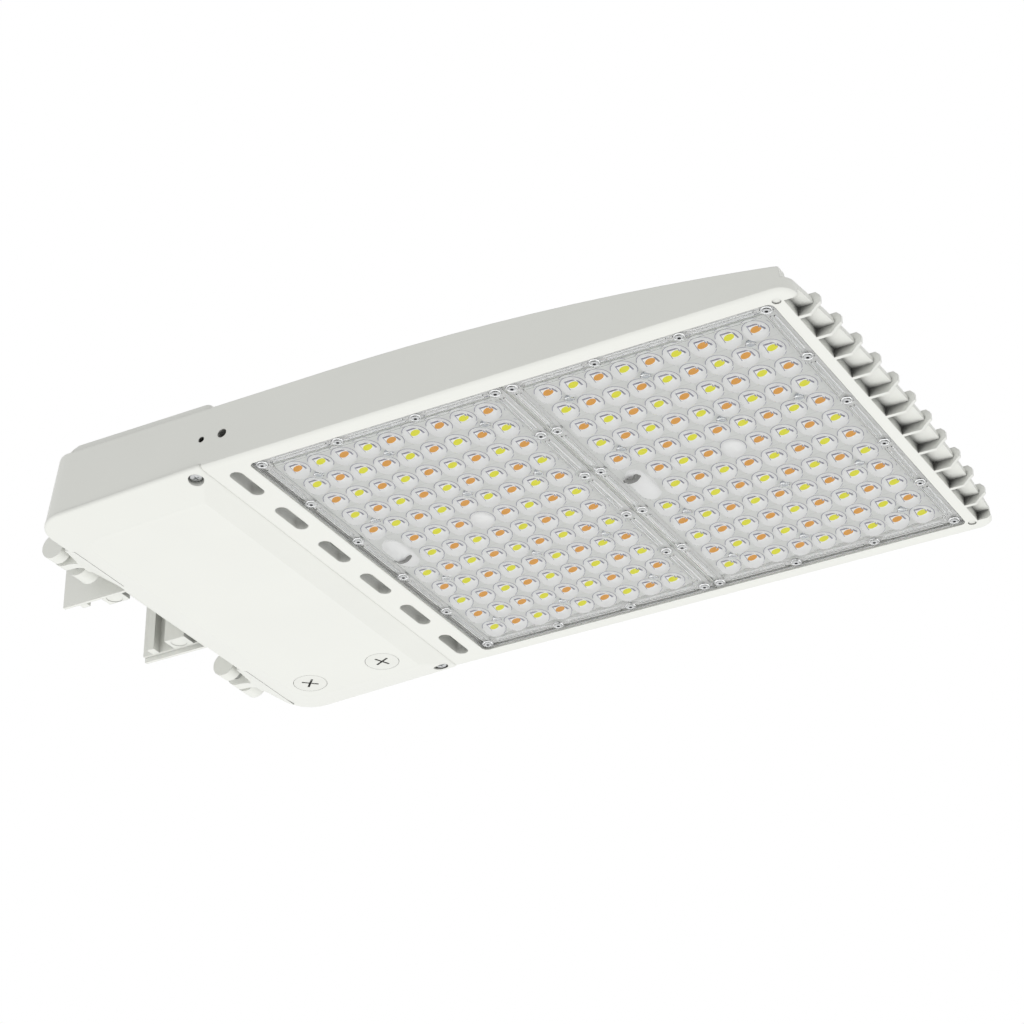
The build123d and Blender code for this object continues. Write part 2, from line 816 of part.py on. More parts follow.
    # Lead from the driver through the bay's front wall, along a fin channel and down to the board
    lead_x, lead_y = lead_places[index]
    with BuildPart() as led_lead:
        with BuildLine():
            FilletPolyline(
                (driver_rear_x + driver_width, lead_y, rim_z + lead_height),
                (bay_front_x + lead_drop_start, lead_y, rim_z + lead_height),
                (bay_front_x + lead_drop_start + lead_drop_run, lead_y, rim_z + lead_low),
                (lead_x, lead_y, rim_z + lead_low),
                (lead_x, lead_y, rim_z + lead_end),
                radius=lead_bend,
            )
        with BuildSketch(Plane.YZ.offset(driver_rear_x + driver_width)):
            with Locations((lead_y, rim_z + lead_height)):
                Circle(lead_radius)
        sweep()
    parts.append((f"led_lead_{name}", led_lead))

    with BuildPart() as lead_gland:
        with BuildSketch(Plane.YZ.offset(bay_inside_front - gland_nut_width)):
            with Locations((lead_y, rim_z + lead_height)):
                RegularPolygon(gland_collar, 6)
        extrude(amount=gland_nut_width)
        with BuildSketch(Plane.YZ.offset(bay_inside_front)):
            with Locations((lead_y, rim_z + lead_height)):
                Circle(gland_radius)
        extrude(amount=bay_front_wall + channel_gap)
        with BuildSketch(Plane.YZ.offset(bay_front_x + channel_gap)):
            with Locations((lead_y, rim_z + lead_height)):
                Circle(gland_collar)
        extrude(amount=gland_collar_width)
        fillet(lead_gland.edges().sort_by(Axis.X)[-1], gland_collar - gland_radius)
        with BuildSketch(Plane.YZ.offset(bay_inside_front - gland_nut_width)):
            with Locations((lead_y, rim_z + lead_height)):
                Circle(lead_radius)
        bore_length = gland_nut_width + bay_front_wall + channel_gap + gland_collar_width
        extrude(amount=bore_length, mode=Mode.SUBTRACT)
    parts.append((f"lead_gland_{name}", lead_gland))

    with BuildPart() as lead_grommet:
        with BuildSketch(level(plate_floor)):
            with Locations((lead_x, lead_y)):
                Circle(grommet_radius)
        extrude(amount=plate_top - plate_floor)
        with BuildSketch(level(plate_top)):
            with Locations((lead_x, lead_y)):
                Circle(grommet_collar)
        extrude(amount=grommet_collar_height)
        with BuildSketch(level(plate_floor)):
            with Locations((lead_x, lead_y)):
                Circle(lead_radius)
        extrude(amount=plate_top - plate_floor + grommet_collar_height, mode=Mode.SUBTRACT)
    parts.append((f"lead_grommet_{name}", lead_grommet))

# Door of the driver bay: a tray with wide bevels, hung from knuckles at its rear edge
door_rear_u = -bay_length / cos(radians(door_tilt))
door_front_u = -door_gap
door_rear_slope = (door_depth - door_gap - door_lip) / door_rear_bevel
door_length = door_front_u - door_rear_u
flat_length = door_length - door_front_bevel - door_rear_bevel
flat_u = door_rear_u + door_rear_bevel + flat_length / 2
door_u = (door_rear_u + door_front_u) / 2
lip_bottom = -door_gap - door_lip
edge_height = door_line(bay_rear_x) + lip_bottom
aprons = []
for start, (first_ear, (knuckle_low, knuckle_high), second_ear) in hinges:
    with BuildPart() as apron:
        # Side view: a plate that leaves the bevel, rises behind the bay's wall and levels out under the pin
        with BuildSketch(across(start - apron_lead)):
            with BuildLine():
                root = up(bay_rear_x + apron_root, edge_height - apron_root * door_rear_slope)
                pin_bottom = up(hinge_x, hinge_height - hinge_radius)
                Spline(
                    root,
                    up(bay_rear_x - apron_foot[0], edge_height + apron_foot[1]),
                    up(bay_rear_x - apron_middle[0], edge_height + apron_middle[1]),
                    pin_bottom,
                    tangents=((-1, door_rear_slope), (-1, 0)),
                )
                Polyline(
                    pin_bottom,
                    up(hinge_x, hinge_height),
                    up(hinge_x + hinge_radius, hinge_height),
                    up(bay_rear_x - apron_middle[0], edge_height + apron_middle[1] + apron_thickness),
                    up(bay_rear_x - apron_foot[0], edge_height + apron_foot[1] + apron_thickness),
                    up(bay_rear_x - door_gap, edge_height + door_lip - door_gap),
                    up(bay_rear_x + apron_root, edge_height + door_lip - door_gap),
                    root,
                )
            make_face()
        extrude(amount=-apron_lead - knuckle_high - apron_tail)
        # Seen from below: a slanted near end, the knuckle and a stepped far end around the second ear
        with BuildSketch(level(-door_depth)):
            with BuildLine():
                far, middle, near = apron_rear
                Polyline(
                    (bay_rear_x + apron_root, start - apron_lead),
                    (bay_rear_x, start - apron_lead),
                    (bay_rear_x - near, start - apron_lead + near / 2),
                    (bay_rear_x - far + near / 2, start + knuckle_low - near),
                    (bay_rear_x - far, start + knuckle_low),
                    (hinge_x, start + knuckle_low),
                    (hinge_x, start + knuckle_high),
                    (bay_rear_x - far, start + knuckle_high),
                    (bay_rear_x - far, start + knuckle_high + near),
                    (bay_rear_x - middle, start + knuckle_high + near),
                    (bay_rear_x - near, start + knuckle_high + far),
                    (bay_rear_x, start + knuckle_high + apron_tail),
                    (bay_rear_x + apron_root, start + knuckle_high + apron_tail),
                    close=True,
                )
            make_face()
        extrude(amount=door_depth + wall_height, mode=Mode.INTERSECT)
        with BuildSketch(across(start + knuckle_low)):
            with Locations(up(hinge_x, hinge_height)):
                Circle(hinge_radius)
        extrude(amount=knuckle_low - knuckle_high)
        with BuildSketch(across(start + knuckle_low)):
            with Locations(up(hinge_x, hinge_height)):
                Circle(hinge_pin_radius + hinge_play)
        extrude(amount=knuckle_low - knuckle_high, mode=Mode.SUBTRACT)
    aprons.append(apron.part)

with BuildPart() as driver_door:
    with BuildSketch(door_plane.offset(lip_bottom)) as lip:
        with Locations((door_u, 0)):
            Rectangle(door_length, 2 * half_width)
        fillet(lip.vertices().group_by(Axis.X)[0], rear_corner)
        fillet(lip.vertices().group_by(Axis.X)[-1], door_front_corner)
    extrude(amount=door_lip)
    with BuildSketch(door_plane.offset(lip_bottom)) as wide:
        with Locations((door_u, 0)):
            Rectangle(door_length, 2 * half_width)
        fillet(wide.vertices().group_by(Axis.X)[0], rear_corner)
        fillet(wide.vertices().group_by(Axis.X)[-1], door_front_corner)
    with BuildSketch(door_plane.offset(-door_depth)) as narrow:
        with Locations((flat_u, 0)):
            Rectangle(flat_length, 2 * (half_width - door_side_bevel))
        fillet(narrow.vertices().group_by(Axis.X)[0], door_flat_corner)
        fillet(narrow.vertices().group_by(Axis.X)[-1], door_front_corner)
    loft()

    edge_plane = door_plane.offset(lip_bottom)
    edges = driver_door.edges().filter_by_position(Axis(edge_plane.origin, edge_plane.z_dir), -0.01, 0.01)
    fillet(edges, door_edge_round)
    add(aprons)

    # Hollow of the tray
    with BuildSketch(door_plane.offset(-door_gap)) as mouth:
        with Locations((door_u, 0)):
            RectangleRounded(door_length - 2 * door_seat, 2 * (half_width - door_seat), door_seat_corner)
    with BuildSketch(door_plane.offset(-door_depth + door_wall)) as floor:
        with Locations((flat_u, 0)):
            inner_half = half_width - door_side_bevel - door_wall
            RectangleRounded(flat_length - 2 * door_wall, 2 * inner_half, door_flat_corner)
    loft(mode=Mode.SUBTRACT)

    # Groove of the seal
    with BuildSketch(door_plane.offset(-door_gap)):
        with Locations((door_u, 0)):
            outer = (door_length - 2 * door_gasket_inset, 2 * (half_width - door_gasket_inset))
            RectangleRounded(*outer, door_gasket_corner)
            RectangleRounded(
                outer[0] - 2 * door_gasket_width,
                outer[1] - 2 * door_gasket_width,
                door_gasket_corner - door_gasket_width,
                mode=Mode.SUBTRACT,
            )
    extrude(amount=-door_gasket_depth, mode=Mode.SUBTRACT)

    # Screw pockets at the front corners
    with BuildSketch(door_plane.offset(-door_screw_seat)):
        with Locations([on_door(x, y) for x, y in door_screws_at]):
            Circle(door_screw_bore)
    extrude(amount=-door_depth, mode=Mode.SUBTRACT)
    with BuildSketch(door_plane):
        with Locations([on_door(x, y) for x, y in door_screws_at]):
            Circle(door_screw_radius + screw_play)
    extrude(amount=-door_depth, mode=Mode.SUBTRACT)

    # Bosses and holes of the two plugs
    with BuildSketch(door_plane.offset(-door_depth + door_wall)):
        with Locations([on_door(x, plug_y) for x in plug_places]):
            Circle(plug_boss_radius)
    extrude(amount=plug_boss)
    with BuildSketch(door_plane.offset(-door_depth)):
        with Locations([on_door(x, plug_y) for x in plug_places]):
            Circle(plug_radius + plug_gap)
    extrude(amount=plug_flange + plug_gap / 3, mode=Mode.SUBTRACT)
    with BuildSketch(door_plane.offset(-door_depth)):
        with Locations([on_door(x, plug_y) for x in plug_places]):
            Circle(seal_outer)
    extrude(amount=plug_flange + plug_gap / 3 + seal_thickness, mode=Mode.SUBTRACT)
    with BuildSketch(door_plane.offset(-door_depth)):
        with Locations([on_door(x, plug_y) for x in plug_places]):
            Circle(plug_stem_radius + plug_gap)
    extrude(amount=door_wall + plug_boss, mode=Mode.SUBTRACT)
parts.append(("driver_door", driver_door))

with BuildPart() as door_gasket:
    with BuildSketch(door_plane.offset(-door_gap - door_gasket_depth)):
        with Locations((door_u, 0)):
            RectangleRounded(*outer, door_gasket_corner)
            RectangleRounded(
                outer[0] - 2 * door_gasket_width,
                outer[1] - 2 * door_gasket_width,
                door_gasket_corner - door_gasket_width,
                mode=Mode.SUBTRACT,
            )
    extrude(amount=door_gasket_depth + door_gap - door_gasket_gap)
parts.append(("door_gasket", door_gasket))

for name, place in zip(("near", "far"), door_screws_at):
    with BuildPart() as door_screw:
        with BuildSketch(door_plane.offset(-door_screw_seat)):
            with Locations(on_door(*place)):
                Circle(door_screw_head)
        extrude(amount=-door_screw_head_height)
        fillet(door_screw.edges().sort_by(Axis.Z)[0], door_screw_head_height / 2)
        with BuildSketch(door_plane.offset(-door_screw_seat - door_screw_head_height)):
            with Locations(on_door(*place)):
                Rectangle(door_screw_head, cross_width / 2)
                Rectangle(cross_width / 2, door_screw_head)
        extrude(amount=door_screw_head_height / 2, mode=Mode.SUBTRACT)
        with BuildSketch(door_plane.offset(-door_screw_seat)):
            with Locations(on_door(*place)):
                Circle(door_screw_radius)
        extrude(amount=door_screw_seat + door_screw_reach)
    parts.append((f"door_screw_{name}", door_screw))
    with BuildPart() as retainer:
        with BuildSketch(door_plane.offset(-door_gap + screw_play / 2)):
            with Locations(on_door(*place)):
                Circle(retainer_radius)
                Circle(door_screw_radius, mode=Mode.SUBTRACT)
        extrude(amount=retainer_thickness)
    parts.append((f"screw_retainer_{name}", retainer))

for name, x, turn in zip(("power", "colour"), plug_places, cross_turns):
    place = on_door(x, plug_y)
    with BuildPart() as plug:
        with BuildSketch(door_plane.offset(-door_depth)):
            with Locations(place):
                Circle(plug_radius)
        extrude(amount=plug_flange)
        with BuildSketch(door_plane.offset(-door_depth + plug_flange)):
            with Locations(place):
                Circle(plug_stem_radius)
        extrude(amount=door_wall + plug_boss - plug_flange + plug_gap)
        with BuildSketch(door_plane.offset(-door_depth + door_wall + plug_boss + plug_gap)):
            with Locations(place):
                Circle(plug_collar_radius)
        extrude(amount=plug_collar)
        with BuildSketch(door_plane.offset(-door_depth)):
            with Locations(place):
                Rectangle(cross_length, cross_width, rotation=turn)
                Rectangle(cross_length, cross_width, rotation=turn - 90)
        extrude(amount=cross_depth, mode=Mode.SUBTRACT)
    parts.append((f"{name}_plug", plug))
    with BuildPart() as plug_seal:
        with BuildSketch(door_plane.offset(-door_depth + plug_flange + plug_gap / 3)):
            with Locations(place):
                Circle(seal_outer)
                Circle(seal_inner, mode=Mode.SUBTRACT)
        extrude(amount=seal_thickness)
    parts.append((f"{name}_plug_seal", plug_seal))
    with BuildPart() as selector:
        knob_top = bay_ceiling - selector_box_height - selector_play
        with BuildSketch(level(knob_top)):
            with Locations((x, plug_y)):
                Circle(selector_radius)
        extrude(amount=-selector_height)
        with BuildSketch(level(knob_top - selector_height)):
            with Locations((x, plug_y)):
                Rectangle(2 * selector_radius, selector_slot)
        extrude(amount=selector_slot_depth, mode=Mode.SUBTRACT)
        with BuildSketch(level(knob_top)):
            with Locations((x, plug_y)):
                Circle(selector_stem_radius)
        extrude(amount=selector_stem)
    parts.append((f"{name}_selector", selector))

for name, (start, (first_ear, knuckle, second_ear)) in zip(("near", "far"), hinges):
    with BuildPart() as hinge_pin:
        with BuildSketch(across(start + hinge_pin_start)):
            with Locations(up(hinge_x, hinge_height)):
                Circle(hinge_pin_radius)
        extrude(amount=hinge_pin_start - second_ear[1])
    parts.append((f"hinge_pin_{name}", hinge_pin))


# Mounting arm: an open channel that deepens towards the pole
def arm_outline(x):
    """Height of the arm's sloping top."""
    return arm_rear_top + (arm_front_top - arm_rear_top) * x / arm_length


with BuildPart() as mounting_arm:
    with BuildSketch(Plane.XZ):
        with BuildLine():
            Polyline(
                up(0, arm_bottom),
                up(arm_length, arm_bottom),
                up(arm_length, arm_front_top),
                up(0, arm_rear_top),
                close=True,
            )
        make_face()
    extrude(amount=arm_half_width, both=True)
    inside_x = arm_length - arm_flange
    with BuildSketch(Plane.XZ):
        with BuildLine():
            Polyline(
                up(-arm_wall, arm_bottom - arm_ledge),
                up(inside_x, arm_bottom - arm_ledge),
                up(inside_x, arm_outline(inside_x) - arm_top),
                up(arm_web, arm_outline(arm_web) - arm_top),
                up(arm_web, arm_web_bottom),
                up(-arm_wall, arm_web_bottom),
                close=True,
            )
        make_face()
    extrude(amount=arm_half_width - arm_wall, both=True, mode=Mode.SUBTRACT)

    # Rebate for a cover along the lower edges
    with BuildSketch(level(arm_bottom)):
        with Locations((inside_x / 2, 0)):
            Rectangle(inside_x + arm_length, 2 * (arm_half_width - arm_ledge_wall))
            with Locations((arm_length, 0)):
                Rectangle(arm_length, 2 * arm_half_width, mode=Mode.SUBTRACT)
    extrude(amount=arm_ledge, mode=Mode.SUBTRACT)

    # Ribs beside the pole face and screw columns, cast on both walls
    for side in (-1, 1):
        wall_y = side * (arm_half_width - arm_wall)
        for first, length, depth in (
            (arm_web, arm_rib_thickness, arm_rib_depth),
            (column_start, column_length, column_depth),
        ):
            with BuildSketch(across(wall_y)):
                with BuildLine():
                    Polyline(
                        up(first, arm_bottom + arm_ledge),
                        up(first + length, arm_bottom + arm_ledge),
                        up(first + length, arm_outline(first + length) - arm_top / 2),
                        up(first, arm_outline(first) - arm_top / 2),
                        close=True,
                    )
                make_face()
            extrude(amount=side * depth)
        with BuildSketch(level(arm_bottom + arm_ledge)):
            with Locations((column_start + column_length / 2, wall_y - side * column_depth / 2)):
                Circle(column_mark_radius)
        extrude(amount=column_mark_depth, mode=Mode.SUBTRACT)

    with BuildSketch(Plane.YZ):
        with Locations((-pole_bolt_spacing / 2, 0), (pole_bolt_spacing / 2, 0)):
            Circle(pole_bolt_radius)
    extrude(amount=arm_web, mode=Mode.SUBTRACT)
    with BuildSketch(Plane.YZ.offset(inside_x)):
        with Locations((0, rim_z + supply_height)):
            Circle(supply_hole)
        with Locations(arm_bolts_at):
            Circle(arm_bolt_radius + screw_play)
    extrude(amount=arm_flange, mode=Mode.SUBTRACT)
parts.append(("mounting_arm", mounting_arm))

with BuildPart() as arm_gasket:
    with BuildSketch(Plane.YZ.offset(arm_length)):
        with Locations((0, rim_z + (arm_bottom + arm_front_top) / 2)):
            Rectangle(2 * (arm_half_width - arm_wall / 2), arm_front_top - arm_bottom - arm_wall)
        with Locations((0, rim_z + supply_height)):
            Circle(supply_hole, mode=Mode.SUBTRACT)
        with Locations(arm_bolts_at):
            Circle(arm_bolt_radius + screw_play, mode=Mode.SUBTRACT)
    extrude(amount=arm_gasket_thickness)
parts.append(("arm_gasket", arm_gasket))

with BuildPart() as arm_bolts:
    with BuildSketch(Plane.YZ.offset(inside_x)):
        with Locations(arm_bolts_at):
            RegularPolygon(arm_bolt_head, 6)
    extrude(amount=-arm_bolt_head_height)
    with BuildSketch(Plane.YZ.offset(inside_x)):
        with Locations(arm_bolts_at):
            Circle(arm_bolt_radius)
    extrude(amount=arm_flange + arm_gasket_thickness + arm_pad + bay_rear_wall)
parts.append(("arm_bolts", arm_bolts))

with BuildPart() as supply_grommet:
    with BuildSketch(Plane.YZ.offset(pad_face_x)):
        with Locations((0, rim_z + supply_height)):
            Circle(supply_hole)
    extrude(amount=arm_pad + bay_rear_wall)
    with BuildSketch(Plane.YZ.offset(bay_inside_rear)):
        with Locations((0, rim_z + supply_height)):
            Circle(supply_collar)
    extrude(amount=supply_collar_width)
    with BuildSketch(Plane.YZ.offset(pad_face_x)):
        with Locations((0, rim_z + supply_height)):
            Circle(supply_bore)
    extrude(amount=arm_pad + bay_rear_wall + supply_collar_width, mode=Mode.SUBTRACT)
parts.append(("supply_grommet", supply_grommet))

# Pieces fixed to the bay's ceiling
with BuildPart() as led_driver:
    with BuildSketch(level(driver_bottom)):
        with Locations((driver_x, driver_y)):
            RectangleRounded(driver_width, driver_length, rim_round)
    extrude(amount=driver_height)
    fillet(led_driver.faces().sort_by(Axis.Z)[0].edges(), rim_round / 2)
    with BuildSketch(level(pocket_ceiling - driver_ear_thickness)):
        with Locations((driver_x, driver_y)):
            RectangleRounded(driver_ear_width, driver_length + 2 * driver_ear, rim_round)
        with Locations(driver_screws_at):
            Circle(driver_screw_radius + screw_play, mode=Mode.SUBTRACT)
    extrude(amount=driver_ear_thickness)
parts.append(("led_driver", led_driver))

with BuildPart() as driver_screws:
    ear_bottom = pocket_ceiling - driver_ear_thickness
    with BuildSketch(level(ear_bottom)):
        with Locations(driver_screws_at):
            Circle(driver_screw_head)
    extrude(amount=-driver_screw_head_height)
    with BuildSketch(level(ear_bottom)):
        with Locations(driver_screws_at):
            Circle(driver_screw_radius)
    extrude(amount=driver_ear_thickness + bay_roof)
parts.append(("driver_screws", driver_screws))

surge_x = bay_inside_rear + surge_from_rear + surge_size[0] / 2
with BuildPart() as surge_protector:
    with BuildSketch(level(bay_ceiling)):
        with Locations((surge_x, surge_y)):
            RectangleRounded(surge_size[0], surge_size[1], rim_round / 2)
    extrude(amount=-surge_size[2])
    fillet(surge_protector.faces().sort_by(Axis.Z)[0].edges(), rim_round / 4)
parts.append(("surge_protector", surge_protector))

terminal_x = bay_inside_rear + terminal_from_rear + terminal_size[0] / 2
terminal_places = [
    (terminal_x, terminal_y + (pole - (terminal_poles - 1) / 2) * terminal_pole_pitch)
    for pole in range(terminal_poles)
]
terminal_bottom = bay_ceiling - terminal_size[2]
with BuildPart() as terminal_block:
    with BuildSketch(level(bay_ceiling)):
        with Locations((terminal_x, terminal_y)):
            Rectangle(terminal_size[0], terminal_size[1])
    extrude(amount=-terminal_size[2])
    chamfer(terminal_block.faces().sort_by(Axis.Z)[0].edges(), terminal_screw_radius / 2)
    with BuildSketch(level(terminal_bottom)):
        with Locations(terminal_places):
            Circle(terminal_screw_radius)
    extrude(amount=terminal_screw_depth, mode=Mode.SUBTRACT)
parts.append(("terminal_block", terminal_block))

with BuildPart() as terminal_screws:
    with BuildSketch(level(terminal_bottom + terminal_screw_depth)):
        with Locations(terminal_places):
            Circle(terminal_screw_radius - screw_play)
    extrude(amount=screw_play - terminal_screw_depth / 2)
parts.append(("terminal_screws", terminal_screws))

terminal_front_x = terminal_x + terminal_size[0] / 2
with BuildPart() as input_leads:
    with BuildSketch(Plane.YZ.offset(terminal_front_x)):
        with Locations([(y, rim_z + bay_ceiling - terminal_size[2] / 2) for x, y in terminal_places]):
            Circle(input_lead_radius)
    extrude(amount=driver_rear_x - terminal_front_x)
parts.append(("input_leads", input_leads))

with BuildPart() as selector_box:
    box_length = plug_places[1] - plug_places[0] + 2 * selector_box_margin
    with BuildSketch(level(bay_ceiling)):
        with Locations(((plug_places[0] + plug_places[1]) / 2, plug_y)):
            RectangleRounded(box_length, selector_box_width, rim_round / 2)
    extrude(amount=-selector_box_height)
    with BuildSketch(level(bay_ceiling - selector_box_height)):
        with Locations([(x, plug_y) for x in plug_places]):
            Circle(selector_stem_radius + selector_play)
    extrude(amount=selector_stem, mode=Mode.SUBTRACT)
parts.append(("selector_box", selector_box))

with BuildPart() as ground_screw:
    with BuildSketch(level(bay_ceiling)):
        with Locations(ground_at):
            Circle(ground_screw_head)
    extrude(amount=-ground_screw_head_height)
    with BuildSketch(level(bay_ceiling)):
        with Locations(ground_at):
            Circle(ground_screw_radius)
    extrude(amount=ground_screw_reach)
parts.append(("ground_screw", ground_screw))

os.makedirs("parts", exist_ok=True)
for name, piece in parts:
    piece.part.label = name
    export_step(piece.part, f"parts/{name}.step")
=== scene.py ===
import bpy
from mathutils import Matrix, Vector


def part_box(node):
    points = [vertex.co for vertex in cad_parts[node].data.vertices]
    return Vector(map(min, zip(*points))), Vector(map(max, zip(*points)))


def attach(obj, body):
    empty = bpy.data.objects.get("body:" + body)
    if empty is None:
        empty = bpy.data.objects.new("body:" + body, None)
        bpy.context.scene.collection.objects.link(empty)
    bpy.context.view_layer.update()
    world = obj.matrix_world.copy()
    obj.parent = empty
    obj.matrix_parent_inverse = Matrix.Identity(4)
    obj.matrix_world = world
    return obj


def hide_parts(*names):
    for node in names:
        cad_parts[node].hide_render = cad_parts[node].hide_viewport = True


bl_info = {
    "name": "LED Area Light",
    "version": (1, 0, 0),
    "blender": (4, 5, 0),
    "location": "View3D > Sidebar > Area Light",
    "description": "Dresses the frame of a pole-mounted LED area light with lenses, LEDs, leads and finishes",
    "category": "Object",
}

from math import atan2, cos, pi, radians, sin

import bmesh
import bpy
from bpy.props import FloatProperty, FloatVectorProperty, IntProperty, PointerProperty
from bpy.types import Operator, Panel, PropertyGroup
from mathutils import Matrix, Vector

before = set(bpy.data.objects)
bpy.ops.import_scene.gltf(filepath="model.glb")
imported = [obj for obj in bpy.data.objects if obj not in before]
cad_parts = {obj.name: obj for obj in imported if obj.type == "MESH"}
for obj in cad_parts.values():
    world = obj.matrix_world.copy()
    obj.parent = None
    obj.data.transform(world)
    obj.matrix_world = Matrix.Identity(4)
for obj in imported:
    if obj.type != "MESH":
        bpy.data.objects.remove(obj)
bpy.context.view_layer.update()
mm = 0.001
same = 1e-6  # lengths and shares that differ by less count as equal
boards = ("rear", "front")

# A Mix node has sockets for several kinds of data: these are its colours and its plain numbers
mix_colour_a, mix_colour_b, mixed_colour = 6, 7, 2
mix_factor, mix_number_a, mix_number_b, mixed_number = 0, 2, 3, 0


def linear(colour):
    """Linear colour, with alpha, of an sRGB hex value."""
    channels = [int(colour[i : i + 2], 16) / 255 for i in (0, 2, 4)]
    return tuple(c / 12.92 if c <= 0.04045 else ((c + 0.055) / 1.055) ** 2.4 for c in channels) + (1.0,)


def shade(tone, share):
    """A linear colour, darkened to a share of itself."""
    return tuple(share * c for c in tone[:3]) + (1.0,)


def size(name, description, default):
    """A length property, given in millimetres."""
    return FloatProperty(
        name=name, description=description, default=default * mm, min=0.0, unit="LENGTH", precision=5
    )


def colour(name, description, default):
    """A colour property, given as an sRGB hex value."""
    return FloatVectorProperty(
        name=name, description=description, default=linear(default), size=4, min=0.0, max=1.0, subtype="COLOR"
    )


class AreaLightOptics(PropertyGroup):
    """Sizes of the LED field and of the lens plates over it."""

    columns: IntProperty(name="Columns", description="LED columns of one board", default=9, min=2)
    rows: IntProperty(name="Rows", description="LED rows of one board", default=12, min=2)
    column_pitch: size("Column pitch", "Distance between LED columns", 17.0)
    row_pitch: size("Row pitch", "Distance between LED rows", 22.0)
    dome_length: size("Dome length", "Lens dome along the light", 15.0)
    dome_width: size("Dome width", "Lens dome across the light", 17.6)
    dome_height: size("Dome height", "How far a dome stands out of its plate", 4.5)
    blister: size("Blister", "How much longer than a dome the blister over a lead is", 18.0)
    spot_length: size("Spot length", "Long axis of the coloured spot of an LED", 5.8)
    spot_width: size("Spot width", "Short axis of that spot", 4.0)
    spot_turn: FloatProperty(
        name="Spot turn",
        description="Turn of the spots on their packages",
        default=radians(-28),
        subtype="ANGLE",
    )
    ridge: size("Ridge", "Height of the moulded ridges around a lens", 0.8)
    screw_inset: size("Screw inset", "From a lens plate's edge to its screws", 5.45)


class AreaLightColours(PropertyGroup):
    """Colours of the finishes that show most."""

    coat: colour("Powder coat", "Off-white coat of the castings", "EDEEE8")
    cool: colour("Cool phosphor", "Spot of the cool LEDs", "EEEB20")
    warm: colour("Warm phosphor", "Spot of the warm LEDs", "E9A236")
    mask: colour("Solder mask", "White face of the LED boards", "F0F1EE")
    lead: colour("Lead", "Jacket of the LED leads", "8E8E8B")


def add_node(tree, kind, inputs=None, **settings):
    """Adds a node with its settings, and sets or links its inputs by name or number."""
    made = tree.nodes.new(kind)
    for name, value in settings.items():
        setattr(made, name, value)
    for name, value in (inputs or {}).items():
        if isinstance(value, bpy.types.NodeSocket):
            tree.links.new(value, made.inputs[name])
        else:
            made.inputs[name].default_value = value
    return made


def start_material(name, **shader):
    """A new material with its shader's plain values set, its tree and Object coordinates."""
    material = bpy.data.materials.new(name)
    material.use_nodes = True
    tree = material.node_tree
    bsdf = tree.nodes["Principled BSDF"]
    for key, value in shader.items():
        bsdf.inputs[key.replace("_", " ").title().replace("Ior", "IOR")].default_value = value
    where = add_node(tree, "ShaderNodeTexCoord")
    return material, tree, bsdf, where.outputs["Object"]


def mottle(tree, bsdf, where, first, second, patch):
    """Lets the colour drift between two tones over patches of one real size."""
    patches = add_node(tree, "ShaderNodeTexNoise", {"Vector": where, "Scale": 1 / patch, "Detail": 3.0})
    drift = add_node(
        tree,
        "ShaderNodeMix",
        {mix_factor: patches.outputs["Fac"], mix_colour_a: first, mix_colour_b: second},
        data_type="RGBA",
    )
    tree.links.new(drift.outputs[mixed_colour], bsdf.inputs["Base Color"])


def grain_bump(tree, bsdf, where, grain, depth, edge=0.0):
    """Fine relief of one real grain size; with an edge, sharp corners of the casting are eased too."""
    relief = add_node(tree, "ShaderNodeTexNoise", {"Vector": where, "Scale": 1 / grain, "Detail": 2.0})
    bump = add_node(
        tree, "ShaderNodeBump", {"Height": relief.outputs["Fac"], "Strength": 0.5, "Distance": depth}
    )
    if edge:
        eased = add_node(tree, "ShaderNodeBevel", {"Radius": edge}, samples=4)
        tree.links.new(eased.outputs["Normal"], bump.inputs["Normal"])
    tree.links.new(bump.outputs["Normal"], bsdf.inputs["Normal"])


def paint_recess_shade(tree, bsdf, reach, least):
    """Painted shade in slots and corners: an ambient occlusion node darkens the colour to a share of itself
    there.
    """
    shut, free = 0.4, 0.62  # how open a deep recess is, and a face that keeps its colour
    openness = add_node(
        tree, "ShaderNodeAmbientOcclusion", {"Distance": reach}, samples=6, only_local=True
    )
    share = add_node(
        tree,
        "ShaderNodeMapRange",
        {
            "Value": openness.outputs["AO"],
            "From Min": shut,
            "From Max": free,
            "To Min": least,
            "To Max": 1.0,
        },
    )
    # Painted shade: the coat's colour is multiplied down where the recess is closed in
    coat = bsdf.inputs["Base Color"].links[0].from_socket
    shaded = add_node(
        tree,
        "ShaderNodeMix",
        {mix_factor: 1.0, mix_colour_a: coat, mix_colour_b: share.outputs["Result"]},
        data_type="RGBA",
        blend_type="MULTIPLY",
    )
    tree.links.new(shaded.outputs[mixed_colour], bsdf.inputs["Base Color"])


def powder_coat(name, recess_shade_share):
    """Polyester powder on die-cast aluminium: satin, with a faint orange peel."""
    tone = bpy.context.scene.area_light_colours.coat
    material, tree, bsdf, where = start_material(name, roughness=0.42, specular_ior_level=0.4)
    mottle(tree, bsdf, where, tuple(tone), shade(tone, 0.965), patch=60 * mm)
    # Painted shade: the colour darkens to a share of itself in slots and corners
    paint_recess_shade(tree, bsdf, reach=25 * mm, least=recess_shade_share)
    # The peel is about 0.4 mm wide; it is drawn at 1.2 mm so that it shows
    grain_bump(tree, bsdf, where, grain=1.2 * mm, depth=0.03 * mm, edge=0.7 * mm)
    return material


def polycarbonate():
    """Injection-moulded clear polycarbonate: glassy, with faint flow lines."""
    # The real index is 1.586; a lower one keeps the boards behind the plates pale enough
    material, tree, bsdf, where = start_material(
        "polycarbonate_clear", roughness=0.02, transmission_weight=1.0, ior=1.3
    )
    mottle(tree, bsdf, where, linear("FFFFFF"), linear("FBFDFD"), patch=30 * mm)
    grain_bump(tree, bsdf, where, grain=7 * mm, depth=0.02 * mm)
    return material


